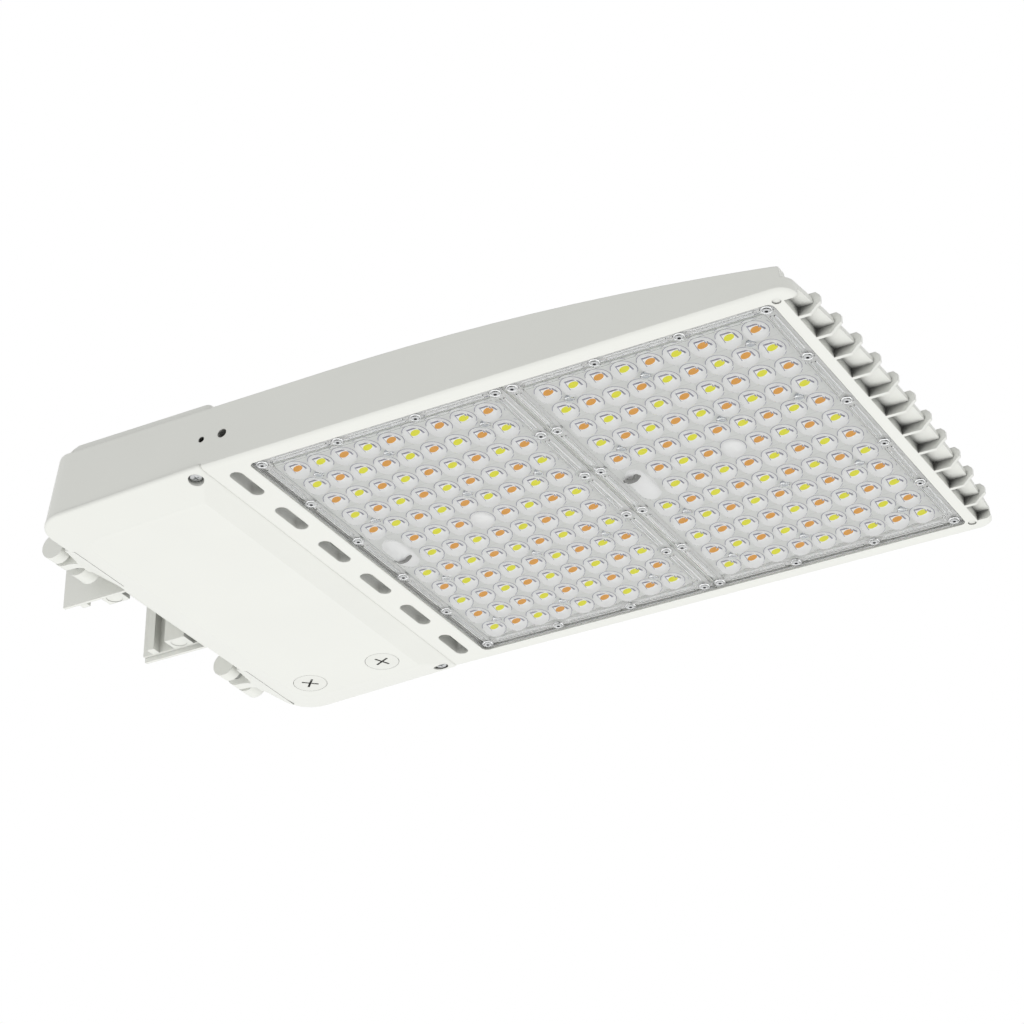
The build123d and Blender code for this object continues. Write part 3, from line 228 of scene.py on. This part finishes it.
def solder_mask():
    """White solder mask on an aluminium-core board: satin, with copper areas that shine through faintly."""
    tone = bpy.context.scene.area_light_colours.mask
    optics = bpy.context.scene.area_light_optics
    material, tree, bsdf, where = start_material("solder_mask_white", roughness=0.45)
    copper = add_node(
        tree,
        "ShaderNodeTexBrick",
        {
            "Vector": where,
            "Scale": 1.0,
            "Brick Width": optics.column_pitch,
            "Row Height": optics.row_pitch,
            "Mortar Size": 0.4 * mm,
            "Color1": tuple(tone),
            "Color2": tuple(tone),
            "Mortar": shade(tone, 0.93),
        },
        offset=0.0,
    )
    tree.links.new(copper.outputs["Color"], bsdf.inputs["Base Color"])
    grain_bump(tree, bsdf, where, grain=0.8 * mm, depth=0.01 * mm)
    return material


def led_package():
    """White moulded LED package and the white reflector print around it: matte and very bright."""
    material, tree, bsdf, where = start_material("led_package_white", roughness=0.5)
    mottle(tree, bsdf, where, linear("FEFEFD"), linear("FBFBFA"), patch=1.5 * mm)
    return material


def led_shade_grey():
    """Grey with a violet tint: painted shade on the side walls of the LED packages and in the ring around
    each white print, and the colour of the contact pads.
    """
    material, tree, bsdf, where = start_material("led_contact_and_shade_grey", roughness=0.4)
    mottle(tree, bsdf, where, linear("B3B1BF"), linear("A7A5B3"), patch=1.5 * mm)
    return material


def phosphor(name, tone):
    """Phosphor in silicone: a strong even colour with fine grains."""
    material, tree, bsdf, where = start_material(name, roughness=0.35)
    mottle(tree, bsdf, where, tuple(tone), shade(tone, 0.94), patch=0.5 * mm)
    return material


def stainless():
    """Stainless steel screws and pins: bright, with turned and brushed marks."""
    material, tree, bsdf, where = start_material("stainless_steel_turned", metallic=1.0, roughness=0.25)
    mottle(tree, bsdf, where, linear("D6D7D7"), linear("BFC1C2"), patch=2 * mm)
    grain_bump(tree, bsdf, where, grain=0.5 * mm, depth=0.01 * mm)
    return material


def zinc():
    """Zinc-plated steel: duller than stainless, with a bluish tint and spangle."""
    material, tree, bsdf, where = start_material("zinc_plated_steel", metallic=1.0, roughness=0.38)
    mottle(tree, bsdf, where, linear("C3C7CB"), linear("A9AEB4"), patch=1.5 * mm)
    return material


def moulded(name, tone, deeper, roughness, grain, recess=0.0):
    """Moulded plastic or rubber with a spark-eroded grain; with a recess reach, painted shade darkens its
    recesses.
    """
    material, tree, bsdf, where = start_material(name, roughness=roughness)
    mottle(tree, bsdf, where, linear(tone), linear(deeper), patch=12 * mm)
    if recess:
        # Painted shade in the recesses
        paint_recess_shade(tree, bsdf, reach=recess, least=0.1)
    grain_bump(tree, bsdf, where, grain, depth=0.02 * mm)
    return material


def driver_case():
    """Driver case of drawn aluminium, satin, with long draw marks."""
    material, tree, bsdf, where = start_material("drawn_aluminium", metallic=1.0, roughness=0.4)
    stretch = add_node(tree, "ShaderNodeMapping", {"Vector": where, "Scale": (1.0, 0.05, 1.0)})
    mottle(tree, bsdf, stretch.outputs["Vector"], linear("CFD0D1"), linear("B9BBBD"), patch=2 * mm)
    return material


def cable_jacket():
    """PVC cable jacket: smooth grey, with a faint extrusion texture."""
    tone = bpy.context.scene.area_light_colours.lead
    material, tree, bsdf, where = start_material("pvc_jacket_grey", roughness=0.5)
    mottle(tree, bsdf, where, tuple(tone), shade(tone, 0.9), patch=4 * mm)
    return material


def finish(material, *names):
    """Gives CAD nodes their material."""
    for name in names:
        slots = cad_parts[name].data.materials
        slots.clear()
        slots.append(material)


def new_piece(name, mesh_builder, materials, body, replaced):
    """Turns a bmesh into a finished piece that rides on a body and stands for CAD nodes."""
    mesh = bpy.data.meshes.new(name)
    mesh_builder.to_mesh(mesh)
    mesh_builder.free()
    for material in materials:
        mesh.materials.append(material)
    piece = bpy.data.objects.new(name, mesh)
    bpy.context.scene.collection.objects.link(piece)
    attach(piece, body)
    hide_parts(*replaced)


def new_wires(name, routes, radius, roundness, fineness, jacket, replaced):
    """Lays round wires along routes of points, each with its share of the radius, in the housing."""
    curve = bpy.data.curves.new(name, "CURVE")
    curve.dimensions = "3D"
    curve.bevel_depth = radius
    curve.bevel_resolution = roundness
    curve.use_fill_caps = True
    for route in routes:
        spline = curve.splines.new("NURBS")
        spline.points.add(len(route) - 1)
        for point, (x, y, z, share) in zip(spline.points, route):
            point.co = (x, y, z, 1.0)
            point.radius = share
        spline.order_u = 3
        spline.use_endpoint_u = True
        spline.resolution_u = fineness
    curve.materials.append(jacket)
    piece = bpy.data.objects.new(name, curve)
    bpy.context.scene.collection.objects.link(piece)
    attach(piece, "housing")
    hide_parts(replaced)


def ease_edges(builder, limit):
    """Smooth shading, with edges sharper than a limit kept as edges."""
    for face in builder.faces:
        face.smooth = True
    for edge in builder.edges:
        edge.smooth = len(edge.link_faces) == 2 and edge.calc_face_angle(0.0) < limit


def paint(made, slot):
    """Gives the faces of a shape that was just made one of its piece's materials."""
    for face in {face for vert in made["verts"] for face in vert.link_faces}:
        face.material_index = slot


def block(builder, centre, form):
    """Adds a block of a given length, width and height."""
    place = Matrix.Translation(centre) @ Matrix.Diagonal((*form, 1.0))
    return bmesh.ops.create_cube(builder, size=1.0, matrix=place)


def turn_profile(builder, centre, profile, steps, closed=False):
    """Turns a profile of radii and heights, in millimetres, about an upright axis."""
    x, y, z = centre
    points = [builder.verts.new((x + r * mm, y, z + h * mm)) for r, h in profile]
    edges = [builder.edges.new(pair) for pair in zip(points, points[1:])]
    if closed:
        edges.append(builder.edges.new((points[-1], points[0])))
    bmesh.ops.spin(
        builder,
        geom=points + edges,
        cent=(x, y, 0.0),
        axis=(0.0, 0.0, 1.0),
        angle=2 * pi,
        steps=steps,
        use_merge=True,
    )


def middle(node):
    """Centre of a CAD node's box."""
    low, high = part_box(node)
    return (Vector(low) + Vector(high)) / 2


def cell_place(optics, centre, column, row):
    """Middle of a cell of the LED field around a board's centre."""
    x = centre.x + (column - (optics.columns - 1) / 2) * optics.column_pitch
    y = centre.y + (row - (optics.rows - 1) / 2) * optics.row_pitch
    return x, y


def empty_places(optics):
    """Columns and rows without an LED: the lead's entry and the blank dome."""
    entry = [(0, optics.rows // 2 - 1), (0, optics.rows // 2)]
    return entry, (optics.columns // 2, optics.rows // 2 - 1)


def led_places(board, parity):
    """Places of one board's LEDs of one tone, which alternate like a chessboard."""
    optics = bpy.context.scene.area_light_optics
    centre = middle(f"led_board_{board}")
    entry, blank = empty_places(optics)
    return [
        cell_place(optics, centre, column, row)
        for column in range(optics.columns)
        for row in range(optics.rows)
        if (column + row) % 2 == parity and (column, row) not in (*entry, blank)
    ]


def screw_places(board):
    """Places of the screws around one lens plate, spread evenly along its edges."""
    inset = bpy.context.scene.area_light_optics.screw_inset
    low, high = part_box(f"lens_plate_{board}")
    columns, rows = 4, 6
    places = []
    for column in range(columns):
        for row in range(rows):
            if column in (0, columns - 1) or row in (0, rows - 1):
                x = low[0] + inset + column / (columns - 1) * (high[0] - low[0] - 2 * inset)
                y = low[1] + inset + row / (rows - 1) * (high[1] - low[1] - 2 * inset)
                places.append((x, y))
    return places


def board_screw_places(board):
    """Places of the screws that hold one board, each in the middle between four LEDs."""
    optics = bpy.context.scene.area_light_optics
    centre = middle(f"led_board_{board}")
    places = []
    for row in (0, 3, 7, 10):
        for column in (0, 3 if row in (0, 10) else 4, 7):
            places.append(cell_place(optics, centre, column + 0.5, row + 0.5))
    return places


def lens_face(board):
    """Height of the face that the domes of a lens plate stand on."""
    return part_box(f"lens_plate_{board}")[0][2] + bpy.context.scene.area_light_optics.dome_height


class AREALIGHT_OT_castings(Operator):
    """Coat the housing, the door and the arm"""

    bl_idname = "area_light.castings"
    bl_label = "Castings"

    # Share of the coat's colour that the painted shade leaves deep in a recess; the arm's corners are
    # shallower
    housing_share, arm_share = 0.06, 0.55

    def execute(self, context):
        finish(powder_coat("powder_coat_off_white", self.housing_share), "main_housing", "driver_door")
        finish(powder_coat("powder_coat_arm", self.arm_share), "mounting_arm")
        return {"FINISHED"}


class AREALIGHT_OT_boards(Operator):
    """Finish the LED boards, their screws and the gaskets of lenses and door"""

    bl_idname = "area_light.boards"
    bl_label = "LED boards"

    def execute(self, context):
        finish(solder_mask(), *[f"led_board_{board}" for board in boards])
        finish(zinc(), *[f"board_screws_{board}" for board in boards])
        silicone = moulded("silicone_white", "FAFAF8", "F4F4F2", roughness=0.6, grain=0.8 * mm)
        finish(silicone, *[f"lens_gasket_{board}" for board in boards], "door_gasket")
        return {"FINISHED"}


class AREALIGHT_OT_leds(Operator):
    """Build the LEDs: white packages with a cool or a warm spot"""

    bl_idname = "area_light.leds"
    bl_label = "LEDs"

    # Materials of a set of LEDs, in order
    white, spot, grey = range(3)
    solder = 0.3 * mm  # stands out on each side of a package
    rounding = 0.12 * mm  # bevel of a package's edges
    pad_reach = 0.55 * mm  # contact pads beyond the solder, on each side
    pad_thickness = 0.16 * mm
    film = 0.06 * mm  # thickness of phosphor and print
    outline_width = 0.5 * mm  # grey ring of painted shade around the white print, for the dome's edge
    shade_ring_depth = 0.02 * mm  # how far that ring lies behind the print

    def execute(self, context):
        optics = context.scene.area_light_optics
        colours = context.scene.area_light_colours
        package = led_package()
        wall = led_shade_grey()
        spots = {
            "cool": phosphor("phosphor_cool_yellow", colours.cool),
            "warm": phosphor("phosphor_warm_orange", colours.warm),
        }
        for board in boards:
            for tone, parity in (("cool", 1), ("warm", 0)):
                node = f"leds_{tone}_{board}"
                low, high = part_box(node)
                places = led_places(board, parity)
                builder = bmesh.new()
                self.packages(builder, optics, places, low, high)
                if tone == "cool":
                    entry, blank = self.empty_middles(optics, board)
                    places.append(blank)
                    pill = (optics.dome_length, optics.dome_width + optics.blister)
                    self.disc(builder, (*entry, high[2]), pill, self.white)
                self.white_print(builder, optics, places, high[2])
                new_piece(
                    node + "_set", builder, (package, spots[tone], wall), "housing", [node]
                )
        return {"FINISHED"}

    def packages(self, builder, optics, places, low, high):
        """Packages in the box of their CAD node, with side walls grey as painted shade, grey contact pads and
        coloured spots.
        """
        side = high[0] - low[0] - (optics.columns - 1) * optics.column_pitch + 2 * self.solder
        for x, y in places:
            block(builder, (x, y, (low[2] + high[2]) / 2), (side, side, high[2] - low[2]))
        bmesh.ops.bevel(
            builder,
            geom=builder.edges[:],
            offset=self.rounding,
            affect="EDGES",
            segments=1,
            profile=0.5,
            material=-1,
        )
        for face in builder.faces:
            # Painted shade: side faces of the packages get the grey, the faces that look up or down stay
            # white
            face.material_index = self.grey if abs(face.normal.z) < 0.5 else self.white
        pad = side + 2 * self.pad_reach
        oval = (optics.spot_length, optics.spot_width)
        for x, y in places:
            paint(block(builder, (x, y, high[2]), (pad, pad, self.pad_thickness)), self.grey)
            self.disc(builder, (x, y, low[2]), oval, self.spot, optics.spot_turn)

    def empty_middles(self, optics, board):
        """Middles of the white print that has no LED: under the lead's blister and under the blank dome."""
        centre = middle(f"led_board_{board}")
        entry, blank = empty_places(optics)
        cells = ((entry[0][0], entry[0][1] + 0.5), blank)
        return [cell_place(optics, centre, column, row) for column, row in cells]

    def white_print(self, builder, optics, places, top_z):
        """White ovals around the packages, each with a grey ring of painted shade at the dome's edge."""
        oval = (optics.dome_length, optics.dome_width)
        outline = [axis + 2 * self.outline_width for axis in oval]
        for x, y in places:
            self.disc(builder, (x, y, top_z), oval, self.white)
            # Painted shade: a grey ring behind the print stands for the dark edge of the dome
            self.disc(builder, (x, y, top_z + self.shade_ring_depth), outline, self.grey)

    def disc(self, builder, place, axes, material, turn=0.0):
        """A thin oval disc: the phosphor of an LED or the white print around its package."""
        flat = Matrix.Diagonal((axes[0] / 2, axes[1] / 2, 1.0, 1.0))
        made = bmesh.ops.create_cone(
            builder,
            cap_ends=True,
            segments=20,
            radius1=1.0,
            radius2=1.0,
            depth=self.film,
            matrix=Matrix.Translation(place) @ Matrix.Rotation(turn, 4, "Z") @ flat,
        )
        paint(made, material)


class AREALIGHT_OT_lenses(Operator):
    """Build the clear lens plates with their domes, blisters and edge ridges"""

    bl_idname = "area_light.lenses"
    bl_label = "Lens plates"

    fineness = 10  # grid steps along each side of an LED's cell
    dome_share = 0.8  # share of a cell's grid that makes its dome
    dome_slope = radians(72)  # slope of a dome's section where it meets the plate
    groove = 1.0 * mm  # depth of the groove along the border
    press = 0.02 * mm  # the top reaches into gasket and board, so that no air gap is left there
    sink = 0.01 * mm  # bosses and caps start this deep in the plate
    # Boss around a lens screw and small dome over a board screw: radii and heights in millimetres
    boss = ((2.9, 0.0), (3.0, -0.9), (3.6, -0.9), (4.1, 0.0))
    cap = ((0.0, 0.0), (3.4, 0.0), (3.0, -0.6), (1.8, -1.05), (0.0, -1.2))

    def execute(self, context):
        clear = polycarbonate()
        for board in boards:
            builder = self.plate(context.scene.area_light_optics, board)
            self.fittings(builder, board)
            bmesh.ops.recalc_face_normals(builder, faces=builder.faces[:])
            ease_edges(builder, radians(32))
            new_piece(
                f"lens_{board}", builder, (clear,), "housing", [f"lens_plate_{board}"]
            )
        return {"FINISHED"}

    def plate(self, optics, board):
        """One plate: a grid with a dome in each cell, widened by a stepped rim and closed on top."""
        low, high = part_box(f"lens_plate_{board}")
        centre = middle(f"led_board_{board}")
        face_z = lens_face(board)
        half = (optics.columns * optics.column_pitch / 2, optics.rows * optics.row_pitch / 2)
        builder = bmesh.new()
        bmesh.ops.create_grid(
            builder,
            x_segments=optics.columns * self.fineness,
            y_segments=optics.rows * self.fineness,
            size=1.0,
            matrix=Matrix.Translation((centre.x, centre.y, face_z)) @ Matrix.Diagonal((*half, 1.0, 1.0)),
        )
        rim = [edge for edge in builder.edges if edge.is_boundary]
        for vert in builder.verts:
            self.shape_cell(vert, optics, centre, half)

        # Stepped rim: millimetres out from the LED field, and height above the plate's face
        for out, rise in (
            (1.2, 0.0),
            (1.5, -optics.ridge),
            (2.5, -optics.ridge),
            (2.8, 0.0),
            (4.6, 0.0),
            (4.9, self.groove),
            (8.6, self.groove),
            (8.9, 0.0),
        ):
            rim = self.widen(builder, rim, centre, half, out * mm, face_z + rise)
        board_low, board_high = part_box(f"led_board_{board}")
        for z in (face_z, high[2] + self.press):
            rim = self.to_box(builder, rim, (low, high), z)
        for z in (high[2] + self.press, board_low[2] + self.press):
            rim = self.to_box(builder, rim, (board_low, board_high), z)
        bmesh.ops.holes_fill(builder, edges=rim, sides=0)
        return builder

    def shape_cell(self, vert, optics, centre, half):
        """Moves a grid point onto the dome or blister of its cell."""
        x = (vert.co.x - centre.x + half[0]) / optics.column_pitch
        y = (vert.co.y - centre.y + half[1]) / optics.row_pitch
        column = min(int(x + same), optics.columns - 1)
        row = min(int(y + same), optics.rows - 1)
        entry = empty_places(optics)[0]
        stretch = 0.0
        if (column, row) in entry:
            row, stretch = entry[0][1] + 0.5, 1.0
        u = 2 * (x - column - 0.5)
        v = 2 * (y - row - 0.5)
        # A blister is a dome drawn out across two rows: its middle stretch keeps the outline straight
        tail = max(-stretch, min(stretch, v))
        v -= tail
        reach = max(abs(u), abs(v))
        if reach > self.dome_share + same:
            return
        turn = atan2(v, u)
        slope = reach / self.dome_share * self.dome_slope
        spread = sin(slope) / sin(self.dome_slope)
        rise = (cos(slope) - cos(self.dome_slope)) / (1 - cos(self.dome_slope))
        middle_x = centre.x - half[0] + (column + 0.5) * optics.column_pitch
        middle_y = centre.y - half[1] + (row + 0.5) * optics.row_pitch + tail * optics.blister / 2
        vert.co.x = middle_x + spread * cos(turn) * optics.dome_length / 2
        vert.co.y = middle_y + spread * sin(turn) * optics.dome_width / 2
        vert.co.z -= rise * optics.dome_height

    def widen(self, builder, rim, centre, half, out, z):
        """Extrudes the open edge and sets the new one at a distance from the LED field."""
        box = (
            (centre.x - half[0] - out, centre.y - half[1] - out),
            (centre.x + half[0] + out, centre.y + half[1] + out),
        )
        return self.to_box(builder, rim, box, z)

    def to_box(self, builder, rim, box, z):
        """Extrudes the open edge onto the outline of a box at a height."""
        before = [v.co.copy() for edge in rim for v in edge.verts]
        low = [min(co[axis] for co in before) for axis in (0, 1)]
        high = [max(co[axis] for co in before) for axis in (0, 1)]
        made = bmesh.ops.extrude_edge_only(builder, edges=rim)["geom"]
        for vert in (g for g in made if isinstance(g, bmesh.types.BMVert)):
            for axis in (0, 1):
                if abs(vert.co[axis] - low[axis]) < same:
                    vert.co[axis] = box[0][axis]
                elif abs(vert.co[axis] - high[axis]) < same:
                    vert.co[axis] = box[1][axis]
            vert.co.z = z
        return [g for g in made if isinstance(g, bmesh.types.BMEdge) and g.is_boundary]

    def fittings(self, builder, board):
        """Bosses around the lens screws, ribs between them and small domes over the board screws."""
        first = len(builder.verts)
        face_z = lens_face(board) - self.sink
        for x, y in screw_places(board):
            turn_profile(builder, (x, y, face_z), self.boss, steps=16, closed=True)
        self.ribs(builder, board, face_z + self.groove)
        for x, y in board_screw_places(board):
            turn_profile(builder, (x, y, face_z), self.cap, steps=12)
        builder.verts.ensure_lookup_table()
        bmesh.ops.remove_doubles(builder, verts=builder.verts[first:], dist=same)

    def ribs(self, builder, board, floor_z):
        """Pairs of ribs in the border's groove, between each two neighbouring screws."""
        width, height = 1.0 * mm, 0.7 * mm
        apart = 2.8 * mm  # between the two ribs of a pair
        clear = 16.0 * mm  # left free at the screws, both ends together
        close = 0.1 * mm  # screws within this of each other's line stand in one row
        places = screw_places(board)
        step_x = min(b[0] - a[0] for a in places for b in places if b[0] - a[0] > mm)
        step_y = min(b[1] - a[1] for a in places for b in places if b[1] - a[1] > mm)
        for a in places:
            for b in places:
                along_x = abs(b[1] - a[1]) < close and abs(b[0] - a[0] - step_x) < close
                along_y = abs(b[0] - a[0]) < close and abs(b[1] - a[1] - step_y) < close
                if not (along_x or along_y):
                    continue
                length = (step_x if along_x else step_y) - clear
                form = (length, width, height) if along_x else (width, length, height)
                for side in (-0.5, 0.5):
                    x = (a[0] + b[0]) / 2 + (side * apart if along_y else 0.0)
                    y = (a[1] + b[1]) / 2 + (side * apart if along_x else 0.0)
                    block(builder, (x, y, floor_z - height / 2), form)


class AREALIGHT_OT_lens_screws(Operator):
    """Build the pan-head screws of the lens plates, and finish the other steel pieces"""

    bl_idname = "area_light.lens_screws"
    bl_label = "Lens screws"

    # Socket, then domed head and shank of one screw: radii and heights in millimetres from the head's face
    socket = ((0.0, 1.2), (0.9, 1.1), (1.1, 0.0))
    head = (
        (1.1, 0.0),
        (1.9, 0.05),
        (2.4, 0.4),
        (2.6, 0.9),
        (2.6, 1.6),
        (1.5, 1.6),
        (1.5, 5.0),
    )
    head_rise = 0.85 * mm  # how far a head stands out of its plate's face
    facets = 12
    steel_slot, oxide_slot = range(2)

    def execute(self, context):
        steel = stainless()
        # The screw sockets are painted dark as their shade
        oxide = moulded("socket_painted_shade", "3E3E40", "353537", roughness=0.6, grain=0.5 * mm)
        for board in boards:
            node = f"lens_screws_{board}"
            tip_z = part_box(node)[1][2]
            builder = bmesh.new()
            head_z = lens_face(board) - self.head_rise
            places = screw_places(board)
            for x, y in places:
                turn_profile(builder, (x, y, head_z), self.socket, self.facets)
            for face in builder.faces:
                # Painted shade: the socket faces get the dark material
                face.material_index = self.oxide_slot
            outside = self.head + ((0.0, (tip_z - head_z) / mm),)
            for x, y in places:
                turn_profile(builder, (x, y, head_z), outside, self.facets)
            bmesh.ops.remove_doubles(builder, verts=builder.verts[:], dist=same)
            bmesh.ops.recalc_face_normals(builder, faces=builder.faces[:])
            ease_edges(builder, radians(30))
            new_piece(node + "_turned", builder, (steel, oxide), "housing", [node])
        finish(steel, "door_screw_near", "door_screw_far", "screw_retainer_near", "screw_retainer_far")
        finish(steel, "arm_bolts", "hinge_pin_near", "hinge_pin_far")
        return {"FINISHED"}


class AREALIGHT_OT_leads(Operator):
    """Lay the leads from the driver to the boards, and finish their glands and the black pieces"""

    bl_idname = "area_light.leads"
    bl_label = "LED leads"

    radius = 2.5 * mm
    # The stripped end is thinner: its share of the radius, and how many points of the route it has
    bare_share, bare_points = 0.56, 3
    rim_rise = 3.5 * mm  # from the tops of the domes up to the housing's rim
    long_route = 120 * mm  # a longer route gets one more point

    def execute(self, context):
        jacket = cable_jacket()
        rim_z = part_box("lens_plate_rear")[0][2] + self.rim_rise
        for board in boards:
            node = f"led_lead_{board}"
            low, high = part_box(node)
            y = (low[1] + high[1]) / 2
            points = self.route(low[0], high[0] - self.radius)
            shares = [1.0] * (len(points) - self.bare_points) + [self.bare_share] * self.bare_points
            route = [(x, y, rim_z + height * mm, share) for (x, height), share in zip(points, shares)]
            new_wires(
                node + "_cable", [route], self.radius, roundness=4, fineness=12, jacket=jacket, replaced=node
            )
        self.input_wires(jacket)
        rubber = moulded("rubber_black", "1B1B1B", "141414", roughness=0.7, grain=0.6 * mm)
        finish(rubber, "supply_grommet", "arm_gasket")
        nylon = moulded("nylon_black", "222223", "1A1A1B", roughness=0.5, grain=0.7 * mm)
        finish(nylon, "lead_gland_rear", "lead_gland_front", "surge_protector", "selector_box")
        finish(nylon, "power_selector", "colour_selector")
        return {"FINISHED"}

    def route(self, start, end):
        """Points along a lead: places along the light, and heights in millimetres above the rim."""
        in_bay, over_boards, through_plate, on_board = 22.0, 17.5, 11.0, 2.4
        points = [
            (start, in_bay),
            (start + 34.0 * mm, in_bay),
            (start + 54.0 * mm, over_boards),
            (end - 12.0 * mm, over_boards),
            (end, over_boards),
            (end, through_plate),
            (end, on_board),
            (end - 4.0 * mm, on_board),
            (end - 9.0 * mm, on_board),
        ]
        if end - start > self.long_route:
            points.insert(3, (start + 75.0 * mm, over_boards))
        return points

    def input_wires(self, jacket):
        """Three short wires between the terminal block and the driver, each with a slight sag."""
        low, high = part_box("input_leads")
        radius = (high[2] - low[2]) / 2
        pitch = (high[1] - low[1] - 2 * radius) / 2
        z = low[2] + radius
        sag = 0.3 * mm
        routes = []
        for pole in range(3):
            y = low[1] + radius + pole * pitch
            routes.append(
                [
                    (low[0], y, z + sag / 2, 1.0),
                    ((low[0] + high[0]) / 2, y, z - sag / 2, 1.0),
                    (high[0], y, z + sag / 2, 1.0),
                ]
            )
        new_wires(
            "input_wires",
            routes,
            radius - sag / 2,
            roundness=3,
            fineness=6,
            jacket=jacket,
            replaced="input_leads",
        )


class AREALIGHT_OT_fittings(Operator):
    """Finish the plugs, their seals and what the driver bay holds"""

    bl_idname = "area_light.fittings"
    bl_label = "Plugs and driver bay"

    def execute(self, context):
        # Painted shade darkens the recesses of the white plugs and the terminal block
        abs_white = moulded("abs_white", "ECEDE7", "E4E5DF", roughness=0.45, grain=0.7 * mm, recess=4 * mm)
        finish(abs_white, "power_plug", "colour_plug", "terminal_block")
        grey = moulded("silicone_grey", "8A8B89", "7E7F7D", roughness=0.6, grain=0.7 * mm)
        finish(grey, "power_plug_seal", "colour_plug_seal", "lead_grommet_rear", "lead_grommet_front")
        finish(driver_case(), "led_driver")
        finish(zinc(), "driver_screws", "terminal_screws", "ground_screw")
        return {"FINISHED"}


class AREALIGHT_OT_stage(Operator):
    """Set up the lamp, the white surroundings and the camera below the light"""

    bl_idname = "area_light.stage"
    bl_label = "Stage"

    from_below, from_above = 1.2, 0.3  # strength of the surroundings as a light
    lamp_place, lamp_target = (0.1, 0.9, 1.5), (0.3, 0.0, 0.0)
    lamp_width, lamp_power = 1.4, 8.0  # metres and watts
    # The camera was solved from the lens screws and the vent slots in the photograph
    camera_place = (1.1309, -1.4154, -0.9897)
    camera_turn = (radians(119.90), 0.0, radians(29.82))
    camera_lens, camera_sensor = 103.85, 36.0  # millimetres

    def execute(self, context):
        scene = context.scene
        scene.view_settings.view_transform = "Standard"
        self.surroundings(scene)
        self.lamp(scene)
        self.camera(scene)
        return {"FINISHED"}

    def surroundings(self, scene):
        """White to the camera, in reflections and through lenses; as a light, brighter from below."""
        world = bpy.data.worlds.new("studio")
        scene.world = world
        world.use_nodes = True
        tree = world.node_tree
        path = add_node(tree, "ShaderNodeLightPath")
        seen = path.outputs["Is Camera Ray"]
        for ray in ("Is Glossy Ray", "Is Transmission Ray"):
            either = add_node(tree, "ShaderNodeMath", {0: seen, 1: path.outputs[ray]}, operation="MAXIMUM")
            seen = either.outputs[0]
        direction = add_node(tree, "ShaderNodeTexCoord")
        height = add_node(tree, "ShaderNodeSeparateXYZ", {"Vector": direction.outputs["Generated"]})
        light = add_node(
            tree,
            "ShaderNodeMapRange",
            {
                "Value": height.outputs["Z"],
                "From Min": -1.0,
                "From Max": 1.0,
                "To Min": self.from_below,
                "To Max": self.from_above,
            },
        )
        strength = add_node(
            tree,
            "ShaderNodeMix",
            {mix_factor: seen, mix_number_a: light.outputs["Result"], mix_number_b: 1.0},
        )
        background = tree.nodes["Background"]
        background.inputs["Color"].default_value = (1.0, 1.0, 1.0, 1.0)
        tree.links.new(strength.outputs[mixed_number], background.inputs["Strength"])

    def lamp(self, scene):
        """A soft square lamp above the light, on its far side."""
        data = bpy.data.lights.new("lamp_above", "AREA")
        data.shape = "SQUARE"
        data.size = self.lamp_width
        data.energy = self.lamp_power
        lamp = bpy.data.objects.new("lamp_above", data)
        lamp.location = self.lamp_place
        aim = Vector(self.lamp_target) - Vector(self.lamp_place)
        lamp.rotation_euler = aim.to_track_quat("-Z", "Y").to_euler()
        scene.collection.objects.link(lamp)

    def camera(self, scene):
        """The camera at the photograph's viewing angle."""
        data = bpy.data.cameras.new("camera")
        data.sensor_width = self.camera_sensor
        data.lens = self.camera_lens
        camera = bpy.data.objects.new("camera", data)
        camera.location = self.camera_place
        camera.rotation_euler = self.camera_turn
        scene.collection.objects.link(camera)
        scene.camera = camera


class AREALIGHT_PT_panel(Panel):
    """Sizes, colours and build steps of the area light"""

    bl_idname = "AREALIGHT_PT_panel"
    bl_label = "Area Light"
    bl_space_type = "VIEW_3D"
    bl_region_type = "UI"
    bl_category = "Area Light"

    def draw(self, context):
        column = self.layout.column()
        for group in (context.scene.area_light_optics, context.scene.area_light_colours):
            for name in group.bl_rna.properties.keys():
                if name not in ("rna_type", "name"):
                    column.prop(group, name)
        for step in steps:
            column.operator(step.bl_idname)


steps = (
    AREALIGHT_OT_castings,
    AREALIGHT_OT_boards,
    AREALIGHT_OT_leds,
    AREALIGHT_OT_lenses,
    AREALIGHT_OT_lens_screws,
    AREALIGHT_OT_leads,
    AREALIGHT_OT_fittings,
    AREALIGHT_OT_stage,
)
classes = (AreaLightOptics, AreaLightColours, *steps, AREALIGHT_PT_panel)


def register():
    for cls in classes:
        bpy.utils.register_class(cls)
    bpy.types.Scene.area_light_optics = PointerProperty(type=AreaLightOptics)
    bpy.types.Scene.area_light_colours = PointerProperty(type=AreaLightColours)


def unregister():
    del bpy.types.Scene.area_light_colours
    del bpy.types.Scene.area_light_optics
    for cls in reversed(classes):
        bpy.utils.unregister_class(cls)


def main():
    """Registers the classes and runs every step in order."""
    register()
    bpy.ops.area_light.castings()
    bpy.ops.area_light.boards()
    bpy.ops.area_light.leds()
    bpy.ops.area_light.lenses()
    bpy.ops.area_light.lens_screws()
    bpy.ops.area_light.leads()
    bpy.ops.area_light.fittings()
    bpy.ops.area_light.stage()


if __name__ == "__main__":
    main()
